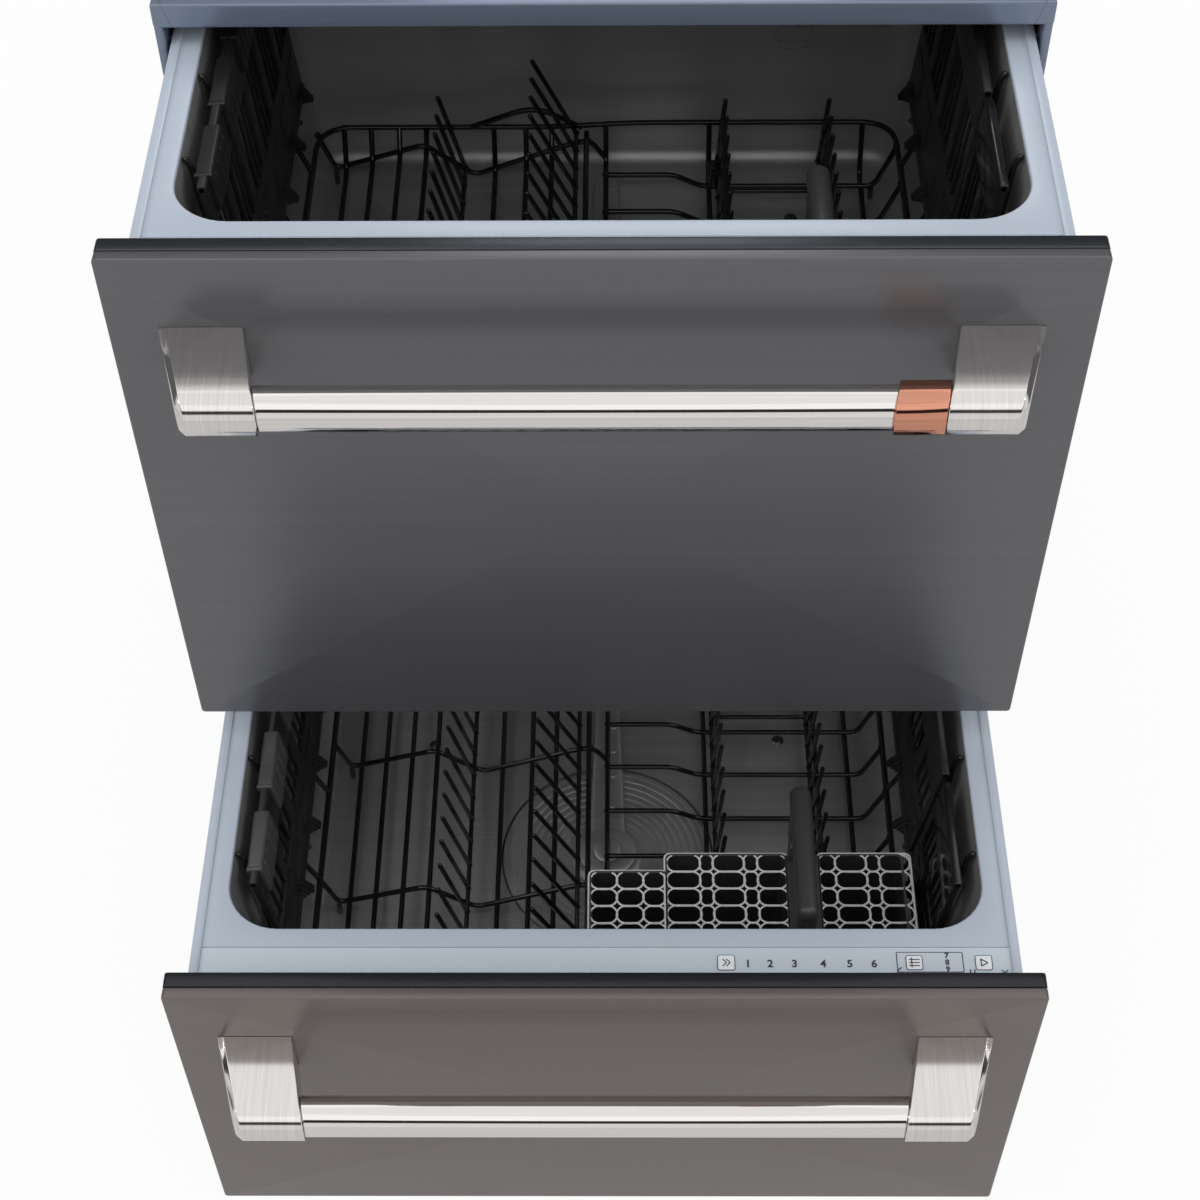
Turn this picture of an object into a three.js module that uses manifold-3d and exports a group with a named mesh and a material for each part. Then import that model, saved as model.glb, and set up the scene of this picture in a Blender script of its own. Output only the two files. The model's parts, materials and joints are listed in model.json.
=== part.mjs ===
// Built-in dishwasher with two drawers, one above the other, both pulled partly open.
// Millimetres. +X right, +Y into the cabinet, +Z up. The origin is on the floor, midway across,
// under the front plane of the frame that the closed drawers meet.

import * as THREE from 'three';
import { mergeVertices } from 'three/addons/utils/BufferGeometryUtils.js';
import Module from 'manifold-3d';

const wasm = await Module();
wasm.setup();

// ---------------------------------------------------------------- driving dimensions

// whole machine
const overallWidth = 599;
const overallHeight = 863;
const toeKickHeight = 104; // floor to the lower edge of the lower front panel
const chassisBack = 555.3; // front plane of the frame to the rear wall
const runningGap = 0.3; // clearance between pieces that touch
const slideGap = 0.4; // clearance between pieces that slide on each other

// drawer fronts
const panelThickness = 20;
const panelSkinDepth = 8.5; // depth of the steel pan, the rest is the plastic backing
const panelSkin = 1.1;
const backingWall = 2;
const panelCorner = 3; // radius of the pan's corners
const panelSpacing = 3; // slot between the two drawer fronts
const lowerPanelHeight = 313;
const sealGap = 1.5; // closed front to frame

// how far each drawer stands open
const upperOpening = 229.4;
const lowerOpening = 467;

// tubs
const tubHalfWidth = 270; // at the mouth
const tubFloorHalfWidth = 248;
const tubMouthFront = 75; // behind the face of the drawer front
const tubMouthBack = 495;
const tubFloorInset = 15; // each end of the floor against the mouth
const tubCorner = 38;
const tubFloorFillet = 18;
const tubSheet = 0.9;
const flangeWidth = 12; // of the tub's top edge, front and back
const upperTubDepth = 281;
const lowerTubDepth = 230;
const rimBelowPanelTop = 34;
const rimPlate = 3;
const rimHalfWidth = 290.5;
const rimBackWidth = 20; // rim behind the mouth
const rimFrontWidth = 15.7; // rim between the control strip and the mouth
const rimBorderWidth = 7;
const rimBorderRise = 2;
const rimSkirt = 3.5; // how far the rim's edge hangs below its plate

// runners: three members side by side between tub and chassis wall, the inner one welded to the tub
const railTop = 3.8; // below the rim plane, just into the tub's flange
const railHeight = 40;
const railSheet = 1.5;
const railLip = 4; // the inner member's edges turn in this far and face the middle member
const innerRailX = 272.5;
const innerRailWidth = 9.5;
const middleRailWidth = 5.6;
const outerRailWidth = 7.3;
const railStart = 22; // behind the face of the drawer front
const railLength = 478;
const middleRailStart = 10; // behind the frame's front plane, drawer closed

// handles
const handleBelowPanelTop = 73; // bar axis
const handleStandOff = 50; // bar axis to the face of the drawer front
const barRadius = 14;
const noseRadius = 16.5;
const bracketRootInner = 216.5;
const bracketRootOuter = 268.5;
const bracketNoseInner = 207;
const bracketNoseOuter = 255;
const bracketRootTop = 19.5; // above the bar axis
const bracketRootBottom = 22.5; // below the bar axis
const bracketChamfer = 5;
const bandLength = 31;

// wire rack, heights above the tub floor
const wire = 4.5;
const tineWire = 4;
const rackSideX = 233.5;
const rackFront = 104;
const rackCorner = 30;
const leftRailHeight = 50;
const rightRailHeight = 54;
const middleHeight = 26; // level stretch right of the middle
const rightLowHeight = 14; // level stretch further right
const archHeight = 70;
const wireLap = wire - 0.5; // the long wires lie under the cross wires, welded half a millimetre in
const foldingTineHeight = 70;
const insertTineHeight = 61.5;
const tinePitch = 22.7;
const leftCrossPitch = 137;
const rightCrossPitch = 2 * tinePitch;
const dividerLeft = -18; // strip that stands along the middle of the rack
const dividerRight = -13.5;

// cup racks
const cupHingeX = 240;
const cupHingeHeight = 110; // above the tub floor
const cupTopX = 255.4;
const cupTopBelowRim = 10;
const cupThickness = 5;
const cupHingeRadius = 4;
const cupFront = 118;
const cupBack = 436;
const rightCupFront = 214; // the right one swings only behind the cutlery basket
const firstUpright = 140;
const uprightPitch = 86;
const uprightCount = 4;
const uprightWallGap = 4.3; // wire centre to the tub wall
const firstTooth = 125;
const toothPitch = 60;
const gripFront = 129.5;
const gripLength = 52;
const gripPitch = 73;
const gripDepth = 12;
const gripHeight = 30;

// cutlery basket, heights above the tub floor
const basketBase = middleHeight + wire / 2 + runningGap; // stands on the rack's level stretch
const basketTop = 147;
const basketLeft = -13;
const basketRight = 228;
const basketFront = 92;
const basketBack = 191.5;
const leftPocketBack = 176;
const basketWall = 2;
const basketHandleTop = 219;
const basketHandleBack = 207;
const latticePitchX = 33.3;
const latticePitchY = 15;

// water system
const sumpRadius = 90;
const sumpDepth = 10;
const motorRadius = 84;
const motorHeight = 32;
const sprayArmRadius = 168;
const sprayArmThickness = 5;
const sprayArmClearance = 1.5; // above the tub floor
const filterDome = 0.8; // filter's middle above the tub floor

// detergent dispenser on the tub's front wall
const dispenserLeft = -190;
const dispenserWidth = 100;
const dispenserBelowRim = 97; // hinge line
const dispenserDoorHeight = 50;
const dispenserFace = 90;
const dispenserDoorThickness = 4;

// chassis
const chassisHalfWidth = 297.5;
const wallSheet = 1.5;
const baseBottom = 98;
const baseSheet = 2;
const baseFlange = 8;
const frameDepth = 20;
const frameTopBar = 18.5;
const frameSideBar = 6.5;
const frameBottomBar = 8;
const crossBarHeight = 12;
const topPanHeight = 14;
const lidHeight = 10;
const lidWall = 2.5;
const lidLift = 4; // the lid rises this far off the rim before a drawer opens
const footRadius = 20;
const footInset = 40;

// ---------------------------------------------------------------- finishes

function finish(color, roughness, metalness) {
  return new THREE.MeshStandardMaterial({ color, roughness, metalness });
}

const graphiteSteel = finish(0x5d5d60, 0.42, 0.85);
const brushedNickel = finish(0xc9c2ba, 0.3, 1.0);
const copper = finish(0xb5613f, 0.28, 1.0);
const slatePaint = finish(0x4a5366, 0.45, 0.35);
const paleBluePlastic = finish(0xaab4c0, 0.42, 0.0);
const linerSteel = finish(0x6e6e6d, 0.35, 0.9);
const blackPlastic = finish(0x1b1b1c, 0.45, 0.0);
const blackNylon = finish(0x141415, 0.35, 0.0);
const basketGrey = finish(0x8f8f8d, 0.5, 0.0);
const zincSteel = finish(0xa4a8ab, 0.45, 0.9);
const greyPlastic = finish(0x74797d, 0.5, 0.0);
const footRubber = finish(0x242424, 0.8, 0.0);

// ---------------------------------------------------------------- shape helpers

// A closed mesh's shared vertices are merged so that it counts as one solid.
function solid(geometry) {
  const bare = geometry.index ? geometry.clone() : geometry;
  bare.deleteAttribute('normal');
  bare.deleteAttribute('uv');
  const merged = mergeVertices(bare, 1e-4);
  return new wasm.Manifold(new wasm.Mesh({
    numProp: 3,
    vertProperties: new Float32Array(merged.attributes.position.array),
    triVerts: new Uint32Array(merged.index.array),
  }));
}

function geometryOf(manifold) {
  const mesh = manifold.getMesh();
  const geometry = new THREE.BufferGeometry();
  geometry.setAttribute('position', new THREE.BufferAttribute(mesh.vertProperties, 3));
  geometry.setIndex(new THREE.BufferAttribute(mesh.triVerts, 1));
  return geometry;
}

function join(...pieces) {
  return pieces.flat().reduce((whole, piece) => whole.add(piece));
}

function cut(body, ...tools) {
  return tools.flat().reduce((rest, tool) => rest.subtract(tool), body);
}

function block(x0, x1, y0, y1, z0, z1) {
  const geometry = new THREE.BoxGeometry(x1 - x0, y1 - y0, z1 - z0);
  geometry.translate((x0 + x1) / 2, (y0 + y1) / 2, (z0 + z1) / 2);
  return solid(geometry);
}

// A block with its walls kept on every side but the open one, or on all sides.
function tray(x0, x1, y0, y1, z0, z1, wall, open) {
  const inner = [x0 + wall, x1 - wall, y0 + wall, y1 - wall, z0 + wall, z1 - wall];
  const slot = ['left', 'right', 'front', 'back', 'bottom', 'top'].indexOf(open);
  if (slot >= 0) {
    inner[slot] = [x0 - wall, x1 + wall, y0 - wall, y1 + wall, z0 - wall, z1 + wall][slot];
  }
  return cut(block(x0, x1, y0, y1, z0, z1), block(...inner));
}

// Outline points in (x, z), swept along Y from y0 to y1.
function sweepY(points, y0, y1) {
  const shape = new THREE.Shape(points.map(([x, z]) => new THREE.Vector2(x, z)));
  const geometry = new THREE.ExtrudeGeometry(shape, { depth: y1 - y0, bevelEnabled: false });
  geometry.rotateX(Math.PI / 2);
  geometry.translate(0, y1, 0);
  return solid(geometry);
}

// A plane outline swept up from z0 to z1.
function sweepZ(shape, z0, z1, curveSegments = 8) {
  const geometry = new THREE.ExtrudeGeometry(shape, { depth: z1 - z0, bevelEnabled: false, curveSegments });
  geometry.translate(0, 0, z0);
  return solid(geometry);
}

// A round bar from one point to another.
function bar(from, to, diameter, sides = 12) {
  const start = new THREE.Vector3(...from);
  const end = new THREE.Vector3(...to);
  const geometry = new THREE.CylinderGeometry(diameter / 2, diameter / 2, start.distanceTo(end), sides);
  const along = end.clone().sub(start).normalize();
  geometry.applyQuaternion(new THREE.Quaternion().setFromUnitVectors(new THREE.Vector3(0, 1, 0), along));
  geometry.translate(...start.add(end).multiplyScalar(0.5).toArray());
  return solid(geometry);
}

// A wire bent through points, drawn four-sided, with mitred bends.
function bentWire(points, thickness) {
  const route = points.map((point) => new THREE.Vector3(...point));
  const along = (i) => route[i + 1].clone().sub(route[i]).normalize();
  const reference = Math.abs(along(0).z) > 0.9 ? new THREE.Vector3(0, 1, 0) : new THREE.Vector3(0, 0, 1);
  const sideways = along(0).cross(reference).setLength(thickness / 2);
  const upwards = along(0).cross(sideways);
  let section = [[-1, -1], [1, -1], [1, 1], [-1, 1]].map(([a, b]) => (
    route[0].clone().addScaledVector(sideways, a).addScaledVector(upwards, b)
  ));
  const rings = [section];
  for (let i = 1; i < route.length; i += 1) {
    const into = along(i - 1);
    const plane = i + 1 < route.length ? into.clone().add(along(i)) : into;
    section = section.map((corner) => {
      const ahead = route[i].clone().sub(corner).dot(plane) / into.dot(plane);
      return corner.clone().addScaledVector(into, ahead);
    });
    rings.push(section);
  }
  return loft(rings.map((corners) => corners.map((corner) => corner.toArray())));
}

// A turned piece from (radius, height) points, axis at (x, y).
function turned(profile, x, y, segments = 28) {
  const points = profile.map(([radius, height]) => new THREE.Vector2(radius, height));
  const geometry = new THREE.LatheGeometry(points, segments);
  geometry.rotateX(Math.PI / 2);
  geometry.translate(x, y, 0);
  return solid(geometry);
}

function roundedRectangle(x0, x1, y0, y1, radius) {
  const shape = new THREE.Shape();
  shape.moveTo(x0 + radius, y0);
  shape.lineTo(x1 - radius, y0);
  shape.absarc(x1 - radius, y0 + radius, radius, -Math.PI / 2, 0);
  shape.lineTo(x1, y1 - radius);
  shape.absarc(x1 - radius, y1 - radius, radius, 0, Math.PI / 2);
  shape.lineTo(x0 + radius, y1);
  shape.absarc(x0 + radius, y1 - radius, radius, Math.PI / 2, Math.PI);
  shape.lineTo(x0, y0 + radius);
  shape.absarc(x0 + radius, y0 + radius, radius, Math.PI, Math.PI * 1.5);
  return shape;
}

// One solid skin over a stack of rings with equal point counts, closed at both ends.
function loft(rings) {
  const count = rings[0].length;
  const positions = rings.flat(2);
  const faces = [];
  for (let i = 0; i + 1 < rings.length; i += 1) {
    for (let j = 0; j < count; j += 1) {
      const next = (j + 1) % count;
      const low = i * count;
      const high = low + count;
      faces.push(low + j, low + next, high + next, low + j, high + next, high + j);
    }
  }
  const last = (rings.length - 1) * count;
  for (let j = 1; j + 1 < count; j += 1) {
    faces.push(0, j + 1, j, last, last + j, last + j + 1);
  }
  const geometry = new THREE.BufferGeometry();
  geometry.setAttribute('position', new THREE.Float32BufferAttribute(positions, 3));
  geometry.setIndex(faces);
  return solid(geometry);
}

// A ring in a level plane: a rectangle of half sizes a and b with round corners.
function ring(centreY, a, b, radius, z, arcSteps = 5) {
  const points = [];
  [[1, 1], [-1, 1], [-1, -1], [1, -1]].forEach(([sx, sy], corner) => {
    for (let i = 0; i <= arcSteps; i += 1) {
      const angle = (corner + i / arcSteps) * Math.PI / 2;
      points.push([
        sx * (a - radius) + radius * Math.cos(angle),
        centreY + sy * (b - radius) + radius * Math.sin(angle),
        z,
      ]);
    }
  });
  return points;
}

const model = new THREE.Group();

function addPiece(group, name, shape, material) {
  const mesh = new THREE.Mesh(geometryOf(shape), material);
  mesh.name = name;
  group.add(mesh);
}

// ---------------------------------------------------------------- the two drawers' own sizes

const drawers = [
  {
    name: 'upper',
    panelTop: overallHeight,
    panelBottom: toeKickHeight + lowerPanelHeight + panelSpacing,
    opening: upperOpening,
    tubDepth: upperTubDepth,
    rackBack: 460,
    leftCross: 312, // first cross wire of the rack's left half
    rightCross: 110.6, // and of its right half
    band: true,
  },
  {
    name: 'lower',
    panelTop: toeKickHeight + lowerPanelHeight,
    panelBottom: toeKickHeight,
    opening: lowerOpening,
    tubDepth: lowerTubDepth,
    rackBack: 474,
    leftCross: 228,
    rightCross: 131.2,
    band: false,
  },
];
for (const drawer of drawers) {
  drawer.rimZ = drawer.panelTop - rimBelowPanelTop;
  drawer.floorZ = drawer.rimZ - drawer.tubDepth;
  drawer.frontY = -(panelThickness + sealGap + drawer.opening);
}

const tubCentreY = (tubMouthFront + tubMouthBack) / 2;
const tubHalfLength = (tubMouthBack - tubMouthFront) / 2;
const controlBack = tubMouthFront - rimFrontWidth;
const rimBack = tubMouthBack + rimBackWidth;

// Where the inner face of a tub's side wall lies at height z.
function wallX(drawer, z) {
  const share = (z - drawer.floorZ) / drawer.tubDepth;
  return tubFloorHalfWidth + (tubHalfWidth - tubFloorHalfWidth) * share;
}

// Where the inner face of a tub's front wall lies at height z.
function wallFrontY(drawer, z) {
  return tubMouthFront + tubFloorInset * (1 - (z - drawer.floorZ) / drawer.tubDepth);
}

// ---------------------------------------------------------------- drawer front and controls

function frontPanel(drawer) {
  const half = overallWidth / 2;
  const outline = roundedRectangle(-half, half, drawer.panelBottom, drawer.panelTop, panelCorner);
  const edge = 0.8;
  const geometry = new THREE.ExtrudeGeometry(outline, {
    depth: panelSkinDepth - edge,
    bevelEnabled: true,
    bevelThickness: edge,
    bevelSize: edge,
    bevelOffset: -edge,
    bevelSegments: 2,
    curveSegments: 3,
  });
  geometry.rotateX(Math.PI / 2);
  geometry.translate(0, panelSkinDepth - edge, 0);
  const face = solid(geometry).intersect(block(
    -half, half, 0, panelSkinDepth, drawer.panelBottom, drawer.panelTop,
  ));
  const hollow = block(
    -half + panelSkin + edge, half - panelSkin - edge, panelSkin + edge, panelSkinDepth + 1,
    drawer.panelBottom + panelSkin + edge, drawer.panelTop - panelSkin - edge,
  );
  return cut(face, hollow);
}

function panelBacking(drawer) {
  const half = overallWidth / 2;
  return tray(
    -half, half, panelSkinDepth + runningGap, panelThickness,
    drawer.panelBottom, drawer.panelTop, backingWall, 'front',
  );
}

// The strip with the keys, closed above and open below, between the front and the tub mouth.
function controlPanel(drawer) {
  const top = drawer.rimZ;
  const front = panelThickness + runningGap;
  const stripHalf = rimHalfWidth - rimBorderWidth + 2;
  const plate = block(-stripHalf, stripHalf, front, controlBack, top - rimPlate, top);
  const housing = tray(
    -innerRailX + rimPlate, innerRailX - rimPlate, front, controlBack,
    top - 26, top - rimPlate / 2, rimPlate, 'bottom',
  );
  return join(plate, housing);
}

// ---------------------------------------------------------------- tub, rim and water system

function tub(drawer) {
  const top = drawer.rimZ - rimPlate - runningGap;
  const floor = drawer.floorZ;
  const floorLength = tubHalfLength - tubFloorInset;
  const filletSteps = 3;
  const section = (grow, z, shrink) => ring(
    tubCentreY,
    wallX(drawer, Math.max(z, floor)) - shrink + grow,
    floorLength + tubFloorInset * Math.max(z - floor, 0) / drawer.tubDepth - shrink + grow,
    tubCorner - Math.min(shrink, tubCorner / 2) + grow,
    z - (z <= floor + tubFloorFillet ? grow : 0),
  );
  const wall = (grow) => {
    const rings = [];
    for (let i = 0; i <= filletSteps; i += 1) {
      const angle = (i / filletSteps) * Math.PI / 2;
      const shrink = tubFloorFillet * (1 - Math.sin(angle));
      rings.push(section(grow, floor + tubFloorFillet * (1 - Math.cos(angle)), shrink));
    }
    rings.push(section(grow, top + (grow ? 0 : 1), 0));
    return loft(rings);
  };
  const flangeHalf = innerRailX + innerRailWidth;
  const flange = loft([
    ring(tubCentreY, flangeHalf, tubHalfLength + flangeWidth, tubCorner, top - 1),
    ring(tubCentreY, flangeHalf, tubHalfLength + flangeWidth, tubCorner, top),
  ]);
  const sump = turned([
    [0, floor - sumpDepth - tubSheet], [sumpRadius + tubSheet, floor - sumpDepth - tubSheet],
    [sumpRadius + tubSheet, floor - tubSheet / 2], [0, floor - tubSheet / 2],
  ], 0, tubCentreY);
  const well = turned([
    [0, floor - sumpDepth], [sumpRadius, floor - sumpDepth], [sumpRadius, floor + 1], [0, floor + 1],
  ], 0, tubCentreY);
  const housingZ = drawer.rimZ - dispenserBelowRim;
  const dispenserHousing = block(
    dispenserLeft, dispenserLeft + dispenserWidth,
    wallFrontY(drawer, housingZ + dispenserDoorHeight) - tubSheet / 2, dispenserFace,
    housingZ - 4, housingZ + dispenserDoorHeight,
  );
  return join(
    cut(join(wall(tubSheet), flange, sump), wall(0), well), dispenserHousing,
    innerRail(drawer, -1), innerRail(drawer, 1),
  );
}

function dispenserDoor(drawer) {
  const hinge = drawer.rimZ - dispenserBelowRim;
  const front = dispenserFace + runningGap;
  const pinY = front + dispenserDoorThickness / 2;
  const plate = block(
    dispenserLeft + 1, dispenserLeft + dispenserWidth - 1, front, front + dispenserDoorThickness,
    hinge, hinge + dispenserDoorHeight,
  );
  const pin = bar(
    [dispenserLeft + 1, pinY, hinge], [dispenserLeft + dispenserWidth - 1, pinY, hinge],
    dispenserDoorThickness, 12,
  );
  return join(plate, pin);
}

function tubRim(drawer) {
  const z = drawer.rimZ;
  const border = rimHalfWidth - rimBorderWidth;
  const plate = sweepZ(
    roundedRectangle(-rimHalfWidth, rimHalfWidth, controlBack + runningGap, rimBack, 4), z - rimPlate, z, 4,
  );
  const mouth = sweepZ(
    roundedRectangle(-tubHalfWidth, tubHalfWidth, tubMouthFront, tubMouthBack, tubCorner), z - 9, z + 9, 6,
  );
  const raised = cut(
    sweepZ(
      roundedRectangle(-rimHalfWidth, rimHalfWidth, controlBack + runningGap, rimBack, 4),
      z - rimPlate - rimSkirt, z + rimBorderRise, 4,
    ),
    block(-border, border, 0, rimBack - rimBorderWidth, z - rimPlate / 2, z + 9),
    block(-rimHalfWidth + 3, rimHalfWidth - 3, 0, rimBack - 3, z - 9, z - rimPlate / 2),
  );
  const arms = [-1, 1].map((side) => {
    const inner = side * (border + 2 + runningGap);
    const outer = side * rimHalfWidth;
    return block(
      Math.min(inner, outer), Math.max(inner, outer),
      panelThickness + runningGap, controlBack + 5, z - rimPlate, z + rimBorderRise,
    );
  });
  return cut(join(plate, raised, arms), mouth);
}

function washMotor(drawer) {
  const top = drawer.floorZ - sumpDepth - tubSheet - runningGap;
  const bottom = top - motorHeight;
  return turned([
    [0, bottom], [motorRadius - 22, bottom], [motorRadius - 14, bottom + 6], [motorRadius - 14, top - 12],
    [motorRadius, top - 10], [motorRadius, top], [0, top],
  ], 0, tubCentreY);
}

function filterPlate(drawer) {
  const z = drawer.floorZ;
  const edge = sumpRadius - 1.5;
  const foot = z - sumpDepth + runningGap;
  return turned([
    [0, z - 3], [edge - 2, z - 3], [edge - 2, foot], [edge, foot], [edge, z - 1],
    [30, z - 1], [26, z + filterDome], [0, z + filterDome],
  ], 0, tubCentreY);
}

function sprayArm(drawer) {
  const low = drawer.floorZ + sprayArmClearance;
  const high = low + sprayArmThickness;
  const tipHalf = 10;
  const rootHalf = 16;
  const shape = new THREE.Shape();
  shape.absarc(0, sprayArmRadius - tipHalf, tipHalf, 0, Math.PI);
  shape.lineTo(-rootHalf, 0);
  shape.absarc(0, -sprayArmRadius + tipHalf, tipHalf, Math.PI, Math.PI * 2);
  shape.lineTo(rootHalf, 0);
  const hub = turned([[0, low], [24, low], [24, high], [12, high + 3], [0, high + 3]], 0, 0, 24);
  return join(sweepZ(shape, low, high, 6), hub).translate(0, tubCentreY, 0);
}

// ---------------------------------------------------------------- handles

// How far from the middle the raked side of a bracket lies, at a distance from the drawer front.
function bracketInnerX(reach) {
  return bracketRootInner + (bracketNoseInner - bracketRootInner) * reach / handleStandOff;
}

function bracketOuterX(reach) {
  return bracketRootOuter + (bracketNoseOuter - bracketRootOuter) * reach / handleStandOff;
}

// Side view of a bracket, (reach, height from the bar axis): a flat root and a round nose.
function bracketOutline(radius) {
  const steps = 10;
  const points = [[0, -bracketRootBottom], [0, bracketRootTop]];
  for (let i = 0; i <= steps; i += 1) {
    const angle = Math.PI * (0.48 - 0.943 * i / steps);
    points.push([handleStandOff + radius * Math.cos(angle), radius * Math.sin(angle)]);
  }
  return points;
}

function bracket(drawer, side) {
  const axisZ = drawer.panelTop - handleBelowPanelTop;
  const section = (share, radius) => bracketOutline(radius).map(([reach, height]) => {
    const inner = bracketInnerX(reach);
    const x = inner + (bracketOuterX(reach) - inner) * share;
    return [side * x, -reach - runningGap, axisZ + height];
  });
  const rings = [section(0, noseRadius), section(0.88, noseRadius), section(1, noseRadius - bracketChamfer)];
  return loft(side > 0 ? rings : rings.map((points) => [...points].reverse()));
}

// A round bar or sleeve whose ends follow the brackets' raked sides.
function rakedBar(drawer, radius, leftX, rightX, sides = 28) {
  const axisZ = drawer.panelTop - handleBelowPanelTop;
  const end = (xAt) => Array.from({ length: sides }, (unused, i) => {
    const angle = -(i / sides) * Math.PI * 2;
    const reach = handleStandOff + radius * Math.cos(angle);
    return [xAt(reach), -reach - runningGap, axisZ + radius * Math.sin(angle)];
  });
  return loft([end(leftX), end(rightX)]);
}

function handleBar(drawer) {
  return rakedBar(
    drawer, barRadius,
    (reach) => -bracketInnerX(reach) + runningGap,
    (reach) => bracketInnerX(reach) - runningGap,
  );
}

function handleBand(drawer) {
  const right = (reach) => bracketInnerX(reach) - runningGap;
  const left = (reach) => right(reach) - bandLength;
  const bore = rakedBar(drawer, barRadius + runningGap, (r) => left(r) - 9, (r) => right(r) + 9);
  return cut(rakedBar(drawer, noseRadius, left, right), bore);
}

// ---------------------------------------------------------------- wire rack and what it carries

// The cross wires' course: (x, height). Two leaning troughs for plates on the left, a level
// step in the middle and a lower level stretch on the right.
const leftCourse = [
  [-rackSideX, leftRailHeight], [-222, 17], [-148, 41], [-108, 10], [-24, 43], [-12, 44],
  [0, middleHeight],
];
const rightCourse = [
  [0, middleHeight], [55, middleHeight], [78, rightLowHeight], [218, rightLowHeight],
  [rackSideX, rightRailHeight],
];

function courseHeight(x) {
  const course = x < 0 ? leftCourse : rightCourse;
  const next = Math.max(course.findIndex(([px]) => px >= x), 1);
  const [x0, z0] = course[next - 1];
  const [x1, z1] = course[next];
  return z0 + (z1 - z0) * (x - x0) / (x1 - x0);
}

// Each row: where its root rod lies, how far the tines lean and how far the rod clears the wires.
const outerTines = {
  rootX: -115, lean: -18, rise: 6.8, first: 113.6 + tinePitch / 2, count: 15, height: foldingTineHeight,
};
const middleTines = {
  rootX: -24, lean: -33.5, rise: 5.3, first: 113.6, count: 16, height: foldingTineHeight,
};
const insertRise = wire / 2 + tineWire / 2 + runningGap;
const insertRows = [91, 174].map((rootX) => (
  { rootX, lean: 5, rise: insertRise, first: 204.5, count: 12, height: insertTineHeight }
));
const insertBars = [227, 417];

function tines(drawer, row) {
  const rootZ = drawer.floorZ + courseHeight(row.rootX) + row.rise;
  const pieces = [];
  for (let i = 0; i < row.count; i += 1) {
    const y = row.first + i * tinePitch;
    pieces.push(bentWire([[row.rootX, y, rootZ], [row.rootX + row.lean, y, rootZ + row.height]], tineWire));
  }
  return join(pieces);
}

// A tine row on its root rod.
function tineRow(drawer, row) {
  const rootZ = drawer.floorZ + courseHeight(row.rootX) + row.rise;
  const rodBack = row.first + (row.count - 1) * tinePitch + tineWire / 2;
  const rod = bentWire([[row.rootX, row.first - 4, rootZ], [row.rootX, rodBack, rootZ]], tineWire);
  return join(rod, tines(drawer, row));
}

// Two upright rows with bars between them and a clip, set on the rack's lower level stretch.
function plateInsert(drawer) {
  const rootZ = drawer.floorZ + rightLowHeight + insertRise;
  const [inner, outer] = insertRows;
  const bars = insertBars.map((y) => bentWire([[inner.rootX, y, rootZ], [outer.rootX, y, rootZ]], tineWire));
  const clip = block(inner.rootX - 9, inner.rootX, 424, 436, rootZ - tineWire / 2, rootZ + 18);
  return join(insertRows.map((row) => tineRow(drawer, row)), bars, clip);
}

// A side wire from the rod up to the tub wall, with a short arm under a cup rack's rod.
function upright(drawer, side, y) {
  const z = (height) => drawer.floorZ + height;
  const lowZ = z(cupHingeHeight - 5);
  const topZ = drawer.rimZ - 12;
  const endZ = drawer.rimZ - 5;
  const course = bentWire([
    [side * rackSideX, y, z(sideRodHeight(side))],
    [side * (wallX(drawer, lowZ) - uprightWallGap), y, lowZ],
    [side * (wallX(drawer, topZ) - uprightWallGap), y, topZ],
    [side * (wallX(drawer, endZ) - wire / 2 - runningGap), y, endZ],
  ], wire);
  const armZ = z(cupHingeHeight) - cupHingeRadius - wire / 2 - runningGap;
  const armEnd = side * (wallX(drawer, armZ) - uprightWallGap);
  return join(course, bentWire([[side * (cupHingeX - 3), y, armZ], [armEnd, y, armZ]], wire));
}

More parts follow.
